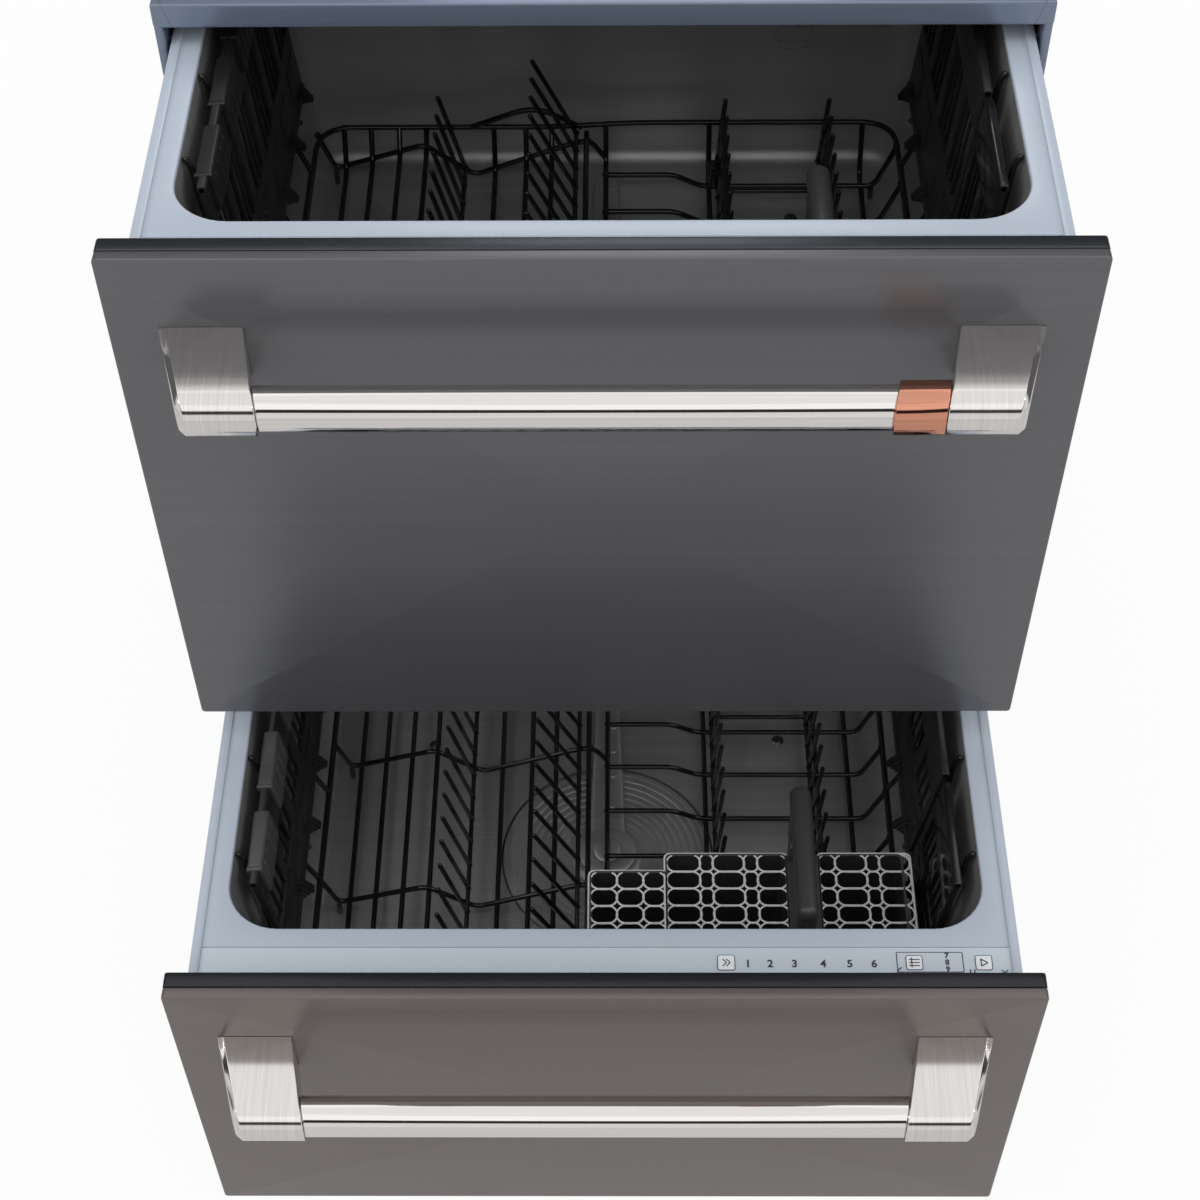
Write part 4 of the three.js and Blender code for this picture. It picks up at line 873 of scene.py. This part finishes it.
def water_parts(d):
    """Filter disc with its rings of slots, spray arm, and the wash motor's cooling ribs. The arm's half
    width falls from 16 mm by 6 mm towards its tips, which are rounded over their last 10 mm."""
    y0, z0 = d.front + TUB_MIDDLE, d.floor
    profile = [
        (0.02, -9.7), (86.5, -9.7), (88.5, -9.7), (88.5, -1.6), (87.9, -1.0), (84.5, -0.8), (84.0, -1.5),
    ]
    for r in np.arange(80.0, 34.0, -6.0):
        profile += [(r + 2.2, -1.5), (r + 1.6, -1.0), (r - 1.2, -1.0), (r - 1.8, -1.5)]
    profile += [(30.5, -1.4), (30, -1.0), (27, 0.4), (25.5, 0.8), (10, 0.8), (9.4, 0.2), (0.02, 0.2)]
    disc = moved(turned(profile, 0, y0, 96), (0, 0, z0))
    drawer_piece(d, "filter_disc", [disc], FILTER_STEEL, "filter_plate", sharp=30)
    y = ARM_RADIUS * np.sin(np.linspace(-1, 1, 49) * math.pi / 2)
    past = np.clip((np.abs(y) - (ARM_RADIUS - 10)) / 10.2, 0, 1)
    half = (16 - 6 * np.abs(y) / ARM_RADIUS) * np.sqrt(np.clip(1 - past ** 2, 0.0, 1))
    half = np.maximum(half, 0.3)
    a = np.arange(24) / 24 * TAU
    flat, crown = (np.sign(wave) * np.abs(wave) ** 0.7 for wave in (np.cos(a), np.sin(a)))
    rings = np.stack([
        half[:, None] * flat,
        np.broadcast_to((y0 + y)[:, None], (49, 24)),
        z0 + 4.0 + (2.5 * np.minimum(half / 8, 1))[:, None] * crown,
    ], -1)
    hub = turned([
        (23, 1.5), (24, 2.2), (24, 6.0), (22.5, 6.6), (13, 7.0), (12, 8.6), (10.5, 9.5), (4, 9.5),
        (3.6, 9.0), (0, 9.0),
    ], 0, y0, 48)
    spots = [(s * (3 + 0.02 * r), s * r) for r in (46, 78, 104, 130, 150) for s in (-1, 1)]
    nozzle = turned([(2.6, 0), (2.6, 0.5), (1.9, 0.95), (1.0, 0.95), (0.8, 0.2), (0, 0.2)], 0, 0, 14)
    jets = repeated(nozzle, [(x, y0 + y, z0 + 6.35) for x, y in spots])
    drawer_piece(
        d, "spray_arm_shaped", [lofted(rings), moved(hub, (0, 0, z0)), jets], TUB_STEEL, "spray_arm",
        "spray_rotor", "grey_plastic", 32,
    )
    softened(f"{d.name}_wash_motor", 1.2, GREY_PLASTIC)
    base = z0 - 43.2
    p, f = rounded_box((64, -1.2, base + 7), (70.8, 1.2, base + 20), 0.5)
    ribs = []
    for k in range(12):
        t = k * TAU / 12
        c, s = math.cos(t), math.sin(t)
        ribs.append((np.stack([p[:, 0] * c - p[:, 1] * s, p[:, 0] * s + p[:, 1] * c + y0, p[:, 2]], -1), f))
    drawer_piece(d, "motor_ribs", ribs, GREY_PLASTIC)
    softened(f"{d.name}_dispenser_door", 1.0, GREY_PLASTIC, 3)


# -------- wire rack

LEFT_COURSE = np.array([
    (-SIDE_X, LEFT_RAIL), (-222, 17), (-148, 41), (-108, 10), (-24, 43), (-12, 44), (0, 26),
], float)
RIGHT_COURSE = np.array([(0, 26), (55, 26), (78, 14), (218, 14), (SIDE_X, RIGHT_RAIL)], float)


def course_height(x):
    course = LEFT_COURSE if x < 0 else RIGHT_COURSE
    return float(np.interp(x, course[:, 0], course[:, 1]))


def cross_wire(course, y):
    return np.insert(course, 1, y, 1)


def rack_base(d):
    """Round wires along the CAD routes with bends of a few millimetres, and weld beads where a long
    wire meets a cross wire."""
    front, back = RACK_FRONT, d.rack_back
    r = WIRE / 2
    loop = closed_path([
        (-SIDE_X, front, LEFT_RAIL), (-24, front, LEFT_RAIL), (-16.5, front, 26), (55, front, 26),
        (78, front, 14), (214, front, 14), (229, front + 2, 46), (SIDE_X, front + 24, RIGHT_RAIL),
        (SIDE_X, back, RIGHT_RAIL), (20, back, RIGHT_RAIL), (-40, back, LEFT_RAIL),
        (-SIDE_X, back, LEFT_RAIL),
    ], 30, 9)
    arch = bent_path([(-110, back, LEFT_RAIL), (-57, back, 71), (-21, back, LEFT_RAIL)], 26, 9)
    divider = rounded_box((-18, front + 1, 40), (-13.5, back - 1, 48), 1.2, 1.6, axis=1)
    parts = [tube(loop, r, 12, closed=True), tube(arch, r, 12), divider]
    beads = []
    long_left = (-213, -191, -168, -146, -91, -65, -44)
    long_right = (0, 84, 181, 208)
    for y in np.arange(d.left_cross, back, LEFT_CROSS_PITCH):
        parts.append(tube(bent_path(cross_wire(LEFT_COURSE, y), 7), r, 10))
        parts.append(tube([(-222, y, 15.0), (-222, y, 2.6)], r, 10))
        beads += [(x, y, course_height(x) - 1.2) for x in long_left]
        beads += [(-SIDE_X, y, 50.6), (-14, y, 44.0)]
    for i in range(8):
        y = d.right_cross + i * 2 * TINE_PITCH
        parts.append(tube(bent_path(cross_wire(RIGHT_COURSE, y), 7), r, 10))
        if i % 6 == 1:
            parts.append(tube([(216, y, 12.0), (216, y, 2.6)], r, 10))
        beads += [(x, y, course_height(x) - 1.2) for x in long_right]
        beads += [(SIDE_X - 0.6, y, 54.6), (0.0, y, 26.4)]
    for x in long_left:
        h = course_height(x) - WIRE_LAP
        route = [(x, front, LEFT_RAIL), (x, front + 14, h), (x, back - 14, h), (x, back, LEFT_RAIL)]
        parts.append(tube(bent_path(route, 9), r, 10))
    for x in long_right:
        h = course_height(x) - WIRE_LAP
        end = 52.7 if x == 0 else RIGHT_RAIL
        parts.append(tube(bent_path([(x, front - 2, h), (x, back - 14, h), (x, back, end)], 9), r, 10))
    parts.append(repeated(ball(3.0), beads))
    return parts


def tine_row(root_x, lean, rise, first, count, height):
    """A root rod with leaning tines: the tine is one wire with a domed tip, repeated at the pitch."""
    root_z = course_height(root_x) + rise
    back = first + (count - 1) * TINE_PITCH
    rod = tube([(root_x, first - 4, root_z), (root_x, back + 2, root_z)], TINE / 2, 10)
    one = tube([(0, 0, 0), (lean / 2, 0, height / 2), (lean, 0, height)], TINE / 2, 8, dome=(62, 28))
    spots = [(root_x, first + i * TINE_PITCH, root_z) for i in range(count)]
    return [rod, repeated(one, spots), repeated(ball(2.75), spots)]


def side_frame(d, side):
    """Side wires from the rod beside the rail up the wall, each with its arm under a cup rack."""
    depth = d.rim - d.floor
    rod_z = (LEFT_RAIL if side < 0 else RIGHT_RAIL) + WIRE + GAP
    r = WIRE / 2
    arm_z = HINGE_HEIGHT - 4 - r - GAP

    def wall(height, gap=WALL_GAP):
        return side * (FLOOR_HALF + WALL_LEAN * height / depth - gap)

    parts = [tube([(side * SIDE_X, 134.0, rod_z), (side * SIDE_X, 404.0, rod_z)], r, 10)]
    beads = []
    for y in FIRST_UPRIGHT + UPRIGHT_PITCH * np.arange(4):
        route = [
            (side * SIDE_X, y, rod_z), (wall(105), y, 105.0), (wall(depth - 22), y, depth - 12),
            (wall(depth - 5, 2.55), y, depth - 5),
        ]
        parts.append(tube(bent_path(route, 16, 7), r, 10))
        parts.append(tube([(side * 237.0, y, arm_z), (wall(arm_z), y, arm_z)], r, 10))
        beads += [(side * SIDE_X, y, rod_z), (wall(arm_z), y, arm_z)]
    parts.append(repeated(ball(2.9), beads))
    return parts


def shelf_lean(d):
    """A cup rack's height from its hinge to its top edge, and its angle to the upright."""
    rise = d.rim - CUP_BELOW_RIM - d.floor - HINGE_HEIGHT
    return rise, math.atan2(CUP_TOP_X - HINGE_X, rise)


def on_wall(parts, side, d, sink=0.0):
    """From a shelf's own frame (out from the wall, along, up the panel) to its leaning place."""
    _, lean = shelf_lean(d)
    leaning = []
    for points, faces in parts:
        x = side * (HINGE_X + points[:, 2] * math.sin(lean) - points[:, 0] * math.cos(lean))
        z = HINGE_HEIGHT - sink + points[:, 0] * math.sin(lean) + points[:, 2] * math.cos(lean)
        leaning.append((np.stack([x, points[:, 1], z], -1), faces))
    return leaning


def saw_tooth(y):
    """Three plates side by side, each smaller than the last, their front faces a little drawn in."""
    plates = []
    for k, (reach, drop, climb) in enumerate(((11, 8, 13), (8.5, 5.5, 10), (6, 3.5, 7))):
        outline = np.array([
            (-1, -4), (reach * 0.93, -drop * 0.9), (reach, -drop * 0.6), (0.5, climb), (-1, climb),
        ])
        near, far = y - 6 - 3 * k, y - 2 * k
        plates.append(lofted([
            np.insert(outline * scale, 1, at, 1)
            for at, scale in ((near, 0.94), (near + 0.6, 1.0), (far - 0.6, 1.0), (far, 0.94))
        ]))
    return plates


def cup_shelf(d, side, front, back, grips, sink=0.0):
    """A leaning panel of bars round windows, its hinge rod, stepped saw teeth and rubbery grips."""
    rise, lean = shelf_lean(d)
    length = rise / math.cos(lean)
    bays = round((back - front) / CUP_BAY)
    bay = (back - front) / bays
    low, high = length * 0.35, length - 36  # foot and head of the windows
    parts = [
        rounded_box((-2.5, front, 0), (2.5, back, low), 1.0, 1.4, axis=1),
        rounded_box((-2.5, front, high), (2.5, back, length), 1.0, 1.4, axis=1),
    ]
    for i in range(bays + 1):
        y = front + i * bay
        y0, y1 = max(y - CUP_BAR, front), min(y + CUP_BAR, back)
        parts.append(rounded_box((-2.3, y0, low - 2), (2.3, y1, high + 2), 0.9, 1.2))
        if i < bays:
            for k in (0.36, 0.68):
                yk = y + CUP_BAR + (bay - 2 * CUP_BAR) * k
                parts.append(rounded_box((-1.2, yk - 1.1, low - 2), (1.6, yk + 1.1, high + 2), 0.5))
            low_corner, high_corner = (1.8, y + 10, low / 4), (3.3, y + bay - 10, low * 0.75)
            parts.append(rounded_box(low_corner, high_corner, 0.6, 2.0, axis=0))
    parts.append(rounded_box((-3.4, front, length - 5), (3.2, back, length + 0.6), 1.0, 2.0, axis=1))
    parts.append(tube([(0, front + 1.5, 0), (0, back - 1.5, 0)], 4.0, 16))
    for y in np.arange(FIRST_TOOTH, back - 4, TOOTH_PITCH):
        if y > front + 4:
            parts += saw_tooth(y + 3)
    blocks = []
    for y in np.arange(FIRST_GRIP, back - GRIP_LENGTH, GRIP_PITCH) if grips else ():
        blocks += [
            rounded_box((-6, y, length - 30), (6, y + GRIP_LENGTH, length + 1), 1.6, 2.4, axis=1, arc=5),
            rounded_box((-6.3, y - 0.6, length - 7), (6.3, y + 3.4, length + 1.2), 1.0, 1.6, axis=1, arc=4),
        ]
        for rib in y + 8 + 12 * np.arange(4):
            blocks.append(rounded_box((5.4, rib, length - 26), (6.5, rib + 3, length - 5), 0.5))
    return on_wall(parts, side, d, sink), on_wall(blocks, side, d)


def placed(parts, d):
    """Parts drawn from the drawer's face and the tub's floor, put in their place."""
    return [moved(part, (0, d.front, d.floor)) for part in parts]


def rack_pieces(d):
    drawer_piece(d, "rack_wires", placed(rack_base(d), d), BLACK_WIRE, "rack")
    for row, values in (
        ("outer", (-115, -18, 6.8, FIRST_TINE + TINE_PITCH / 2, 15, 70)),
        ("middle", (-24, -33.5, 5.3, FIRST_TINE, 16, 70)),
    ):
        wires = placed(tine_row(*values), d)
        drawer_piece(d, f"{row}_tine_wires", wires, BLACK_WIRE, f"{row}_tines", f"{row}_tine_row")
    rise = WIRE / 2 + TINE / 2 + GAP
    foot = 14 + rise
    insert = []
    for x in (91, 174):
        insert += tine_row(x, 5, rise, INSERT_FIRST, INSERT_COUNT, INSERT_HEIGHT)
    for y in (227.0, 417.0):
        insert.append(tube([(91, y, foot), (174, y, foot)], TINE / 2, 10))
    insert.append(rounded_box((82.5, 424.5, foot - 1.6), (90.5, 435.5, foot + 17.5), 1.2, 2.5))
    drawer_piece(d, "insert_wires", placed(insert, d), BLACK_WIRE, "plate_insert")
    for hand, side in HANDS:
        parts = side_frame(d, side)
        if side > 0:
            parts += cup_shelf(d, 1, CUP_FRONT, FIXED_CUP_BACK, False, 0.8)[0]
        drawer_piece(d, f"{hand}_side_wires", placed(parts, d), BLACK_WIRE, f"{hand}_side_frame")
        front = CUP_FRONT if side < 0 else RIGHT_CUP_FRONT
        shelf, blocks = cup_shelf(d, side, front, CUP_BACK, side < 0)
        node, rides = f"{hand}_cup_rack", f"{hand}_cup_shelf"
        drawer_piece(d, f"{node}_panel", placed(shelf, d), BLACK_PLASTIC, node, rides)
        if blocks:
            # The upper drawer's grips are the same satin grey grips as the lower drawer's, given the black
            # plastic as painted shade for the shade they sit in.
            grip_finish = BLACK_PLASTIC if d is UPPER else GRIP_PLASTIC
            drawer_piece(d, f"{node}_grips", placed(blocks, d), grip_finish, node, rides)


# -------- cutlery basket

ROW_PITCH = 15.1
POCKETS = (
    # left edge, right edge, back, column edges, rows
    (-13.0, 47.0, 176.0, (-11.7, 8.4, 28.5, 45.2), 5),
    (45.0, 139.0, 191.5, (46.6, 72.1, 81.8, 105.9, 115.9, 138.4), 6),
    (162.0, 228.0, 191.5, (163.2, 175.6, 199.5, 209.4, 232.6), 6),
)


def pocket_shell(x0, x1, back):
    """A thin-walled box open above: loops run up outside, over the top edge and down inside."""
    cx, cy = (x0 + x1) / 2, (BASKET_FRONT + back) / 2
    a, b = (x1 - x0) / 2, (back - BASKET_FRONT) / 2
    base, top = BASKET_BASE, BASKET_TOP
    less = np.array([2.0, 0.6, 0.0, 0.0, 0.5, 1.5, 2.0, 2.0])
    z = np.array([base, base + 0.4, base + 2.0, top - 0.5, top, top, top - 0.5, base + 2.0])
    return lofted(level_rings(a - less, b - less, np.maximum(5.0 - less, 1.0), cx, cy, z, 4))


def cutlery_basket(d):
    top = BASKET_TOP
    shells = [pocket_shell(x0, x1, back) for x0, x1, back, _, _ in POCKETS]
    shells.append(rounded_box((137, 93, top - 6), (164, 190, top), 0.8))
    rims, lattice = [], []
    for x0, _, back, columns, rows in POCKETS:
        right = columns[-1] + 0.9
        x, y, width, depth = (right + x0) / 2, (back + BASKET_FRONT) / 2, right - x0, back - BASKET_FRONT
        rims.append(level_loop(x, y, width, depth, 4.0, 3, top - 1.1, 1.1, 6))
        for k in range(rows):
            y = back - 1.0 - ROW_PITCH * (k + 0.5)
            depth = ROW_PITCH + 0.35
            if y - depth / 2 < 91:
                depth = (y + depth / 2) - 92.5
                y = 92.5 + depth / 2
            if depth < 5:
                continue
            for x0, x1 in zip(columns[:-1], columns[1:]):
                width = x1 - x0 + 0.5
                corner = min(width, depth) / 2 * 0.93
                lattice.append(level_loop((x0 + x1) / 2, y, width, depth, corner, 4, top - 0.9, 0.8, 5))
    grip = [
        rounded_box((138, 94, top - 2), (154, 112, 212), 3.0, 7.0, arc=6),
        rounded_box((139.5, 187, top + 13), (152.5, 205, 212), 3.0, 5.5, arc=6),
        rounded_box((137.8, 93.5, 203), (154.2, 207, 219), 6.5, 7.9, axis=1, arc=9),
        rounded_box((139, 183, top - 1), (152, 192, top + 20), 2.0, 3.0),
        rounded_box((145.4, 93.6, top + 8), (146.6, 94.4, 212), 0.3),
    ]
    # The pocket walls take the shaded copy of the basket plastic and the lattice takes the lit copy:
    # painted shade and painted light.
    drawer_piece(d, "basket_pockets", placed(shells + grip, d), BASKET_SHADED_PLASTIC, "cutlery_basket")
    strands = placed(rims + lattice, d)
    drawer_piece(d, "basket_lattice", strands, LATTICE_LIT_PLASTIC, "cutlery_basket", sharp=60)


# -------- cabinet

def front_frame():
    """Painted frame: bars with soft edges, and the mitred corners' fine dark joints, which run
    across the top and down the front of each upper corner."""
    bars = [
        rounded_box((-HALF_WIDTH, 0.1, 844.5), (HALF_WIDTH, 20, 862.8), 1.5, 2.2, axis=1, arc=5),
        rounded_box((-294, 0.5, 404), (294, 19.5, 416), 1.0, axis=1),
        rounded_box((-HALF_WIDTH, 0, 98), (HALF_WIDTH, 20, 106), 1.2, 2.0, axis=1),
    ]
    joints = []
    for side in (-1, 1):
        x = side * 296.1
        bars.append(rounded_box((x - 3.1, 0.3, 99), (x + 3.1, 19.7, 858), 1.4, 1.6, arc=4))
        corners = [(297.6, 19.6, 862.72), (292.6, 1.2, 862.72), (292.0, 0.28, 862.0), (287.0, 0.22, 846.0)]
        joints.append(tube([(side * x, y, z) for x, y, z in corners], 0.22, 6))
    mesh_piece("front_frame_bars", bars, SLATE_PAINT, "chassis", ["front_frame"], sharp=60)
    mesh_piece("front_frame_mitres", joints, JOINT_LINE, "chassis", ["front_frame"])


def screw_heads(spots, out):
    """Pan-head screws on a side wall: a low dome with a cross slot's rim, facing out, at each spot."""
    profile = [(4.2, 0), (4.2, 0.5), (3.5, 1.3), (2.0, 1.7), (1.7, 1.1), (0.02, 1.1)]
    points, faces = turned(profile, 0, 0, 18)
    points = points[:, (2, 0, 1)]
    points[:, 0] *= out
    return repeated((points, faces), spots)


def pressed_in(piece, axis, limit, by):
    """Points beyond `limit` along an axis step back by `by`, which leaves room for raised marks."""
    mesh = piece.data
    points = np.empty(len(mesh.vertices) * 3, dtype=np.float32)
    mesh.vertices.foreach_get("co", points)
    points = points.reshape(-1, 3)
    points[:, axis] -= np.where(points[:, axis] > limit * MM, by * MM, 0.0)
    mesh.vertices.foreach_set("co", points.ravel())
    mesh.update()


def cabinet():
    pressed_in(softened("chassis_shell", 0.5, ZINC), 1, 555.1, 0.7)
    side_spots = [(y, z) for y in (60, 290, 520) for z in (150, 420, 690, 840)]
    heads = [screw_heads([(out * 297.5, y, z) for y, z in side_spots], out) for out in (-1, 1)]
    mesh_piece("cabinet_screws", heads, ZINC, "chassis")
    edge_rows = [(x, z) for x in (-284, 284) for z in range(150, 830, 62)]
    edge_rows += [(x, z) for x in range(-240, 250, 60) for z in (114, 848)]
    points, faces = turned([(3.4, -0.2), (3.4, 0.2), (2.8, 0.5), (0.02, 0.6)], 0, 0, 14)
    bead_y = 554.5
    welds = [repeated((points[:, (0, 2, 1)], faces), [(x, bead_y + 0.12, z) for x, z in edge_rows])]
    corners = [(x, bead_y, z) for x, z in ((-215, 250), (215, 250), (215, 770), (-215, 770))]
    ridge = closed_path(corners, 34, 9)
    welds.append(tube(ridge, 0.75, 8, closed=True))
    for z in (380, 510, 640):
        welds.append(tube([(-160, bead_y, z), (160, bead_y, z)], 0.75, 8, dome=(40,)))
    mesh_piece("cabinet_rear_beads", welds, ZINC, "chassis")
    for name in ("front_left_foot", "front_right_foot", "rear_left_foot", "rear_right_foot"):
        softened(name, 0.8, RUBBER)
    softened("toe_kick", 0.6, BLACK_KICK)
    for d in (UPPER, LOWER):
        softened(f"{d.name}_lid", 1.0, GREY_PLASTIC)
        for hand, _ in HANDS:
            softened(f"{d.name}_{hand}_outer_rail", 0.3, ZINC)
            softened(f"{d.name}_{hand}_middle_rail", 0.4, ZINC)


# -------- studio

WHITE = (1, 1, 1, 1)
SEEN_RAYS = ("Is Camera Ray", "Is Transmission Ray")


def ray_mask(tree, *names):
    path = add_node(tree, "ShaderNodeLightPath")
    mask = path.outputs[names[0]]
    for other in names[1:]:
        mask = arithmetic(tree, "MAXIMUM", mask, path.outputs[other])
    return mask


def background(tree, colour, strength=1.0):
    return add_node(tree, "ShaderNodeBackground", {"Color": colour, "Strength": strength}).outputs[0]


def glow(tree, strength):
    return add_node(tree, "ShaderNodeEmission", {"Color": WHITE, "Strength": strength}).outputs[0]


def blended(tree, share, a, b):
    return add_node(tree, "ShaderNodeMixShader", {0: share, 1: a, 2: b}).outputs[0]


def world_light():
    """Soft white all round. Glossy surfaces mirror bright and dark bands, by height, and a dark wall
    behind where the direction's 1.43 y is over its z."""
    world = bpy.data.worlds.new("studio")
    bpy.context.scene.world = world
    world.use_nodes = True
    tree = world.node_tree
    tree.nodes.clear()
    ambient = background(tree, (0.76, 0.77, 0.79, 1))
    seen = background(tree, WHITE)
    place = add_node(tree, "ShaderNodeTexCoord").outputs["Generated"]
    up = add_node(tree, "ShaderNodeSeparateXYZ", {0: place})
    rise = arithmetic(tree, "ADD", arithmetic(tree, "MULTIPLY", up.outputs[2], 0.5), 0.5)
    bands = add_node(tree, "ShaderNodeValToRGB", {0: rise})
    stops = [(0.0, 0.7), (0.675, 0.7), (0.69, 0.02), (0.785, 0.02), (0.8, 1.0), (0.92, 1.0), (0.945, 0.84)]
    elements = bands.color_ramp.elements
    for i, (place, value) in enumerate(stops):
        stop = elements[i] if i < 2 else elements.new(place)
        stop.position = place
        stop.color = (value, value, value, 1)
    steep = arithmetic(tree, "SUBTRACT", arithmetic(tree, "MULTIPLY", up.outputs[1], 1.43), up.outputs[2])
    behind = arithmetic(tree, "MULTIPLY", steep, 8.0, clamp=True)
    mirrored = background(tree, mixed(tree, behind, bands.outputs[0], (0.1, 0.1, 0.1, 1)), 1.08)
    glossy = blended(tree, ray_mask(tree, "Is Glossy Ray"), ambient, mirrored)
    final = blended(tree, ray_mask(tree, *SEEN_RAYS), glossy, seen)
    tree.links.new(final, add_node(tree, "ShaderNodeOutputWorld").inputs[0])


def studio_floor():
    """A pale floor, nearly white to the camera and dimmer in what mirrors it."""
    paint = bpy.data.materials.new("studio_floor")
    paint.use_nodes = True
    tree = paint.node_tree
    tree.nodes.clear()
    matte = add_node(tree, "ShaderNodeBsdfDiffuse", {"Color": (0.9, 0.9, 0.9, 1)})
    white, dimmed = glow(tree, 1.0), glow(tree, 0.58)
    share = arithmetic(tree, "MULTIPLY", ray_mask(tree, *SEEN_RAYS), 0.92)
    seen = blended(tree, share, matte.outputs[0], white)
    share = arithmetic(tree, "MULTIPLY", ray_mask(tree, "Is Glossy Ray"), 0.8)
    mix = blended(tree, share, seen, dimmed)
    tree.links.new(mix, add_node(tree, "ShaderNodeOutputMaterial").inputs[0])
    mesh = bpy.data.meshes.new("studio_floor")
    mesh.from_pydata([(-9, -9, 0), (9, -9, 0), (9, 9, 0), (-9, 9, 0)], [], [(0, 1, 2, 3)])
    mesh.materials.append(paint)
    floor = bpy.data.objects.new("studio_floor", mesh)
    bpy.context.scene.collection.objects.link(floor)


def stand(piece, right, up, back, place):
    """Put a lamp or the camera at a place, turned to three unit directions."""
    turn = Matrix(np.stack([right, up, back], -1).tolist()).to_4x4()
    turn.translation = place
    piece.matrix_world = turn
    bpy.context.scene.collection.objects.link(piece)


def studio():
    scene = bpy.context.scene
    scene.view_settings.view_transform = "Standard"
    world_light()
    studio_floor()
    for name, place, aim, size, power in (
        ("key_softbox", (-0.6, -1.7, 3.8), (0, -0.1, 0.5), 4.4, 42.0),
        ("fill_softbox", (2.8, -1.9, 2.5), (0, -0.1, 0.5), 2.4, 9.0),
        ("left_lamp", (-3.4, -0.9, 2.7), (0, -0.3, 0.4), 0.35, 10.0),
        ("right_lamp", (3.6, -0.7, 2.9), (0, -0.3, 0.4), 0.35, 8.0),
        ("rear_lamp", (0.05, 1.8, 2.45), (0, -0.2, 0.8), 0.9, 4.5),
    ):
        lamp = bpy.data.lights.new(name, "AREA")
        lamp.size = size
        lamp.energy = power
        holder = bpy.data.objects.new(name, lamp)
        holder.visible_glossy = name.endswith("_lamp")
        back = unit(np.array(place) - np.array(aim))
        right = unit(np.cross((0, 0, 1), back))
        stand(holder, right, np.cross(back, right), back, place)

    yaw, pitch, roll = (math.radians(v) for v in (-0.828, 50.365, -0.713))
    ahead = np.array([math.sin(yaw) * math.cos(pitch), math.cos(yaw) * math.cos(pitch), -math.sin(pitch)])
    level = unit(np.cross(ahead, (0, 0, 1)))
    upright = np.cross(level, ahead)
    right = level * math.cos(roll) + upright * math.sin(roll)
    up = upright * math.cos(roll) - level * math.sin(roll)
    lens = bpy.data.cameras.new("photo_camera")
    lens.sensor_width = 36.0
    lens.lens = 65.43
    lens.clip_start = 0.05
    camera = bpy.data.objects.new("photo_camera", lens)
    stand(camera, right, up, -ahead, (0.01107, -1.21819, 1.71807))
    scene.camera = camera


# -------- assembly

for drawer in (UPPER, LOWER):
    drawer_front(drawer)
    handle(drawer)
    control_strip(drawer)
    drawer_tub(drawer)
    tub_rim(drawer)
    water_parts(drawer)
    rack_pieces(drawer)
    cutlery_basket(drawer)
front_frame()
cabinet()
studio()
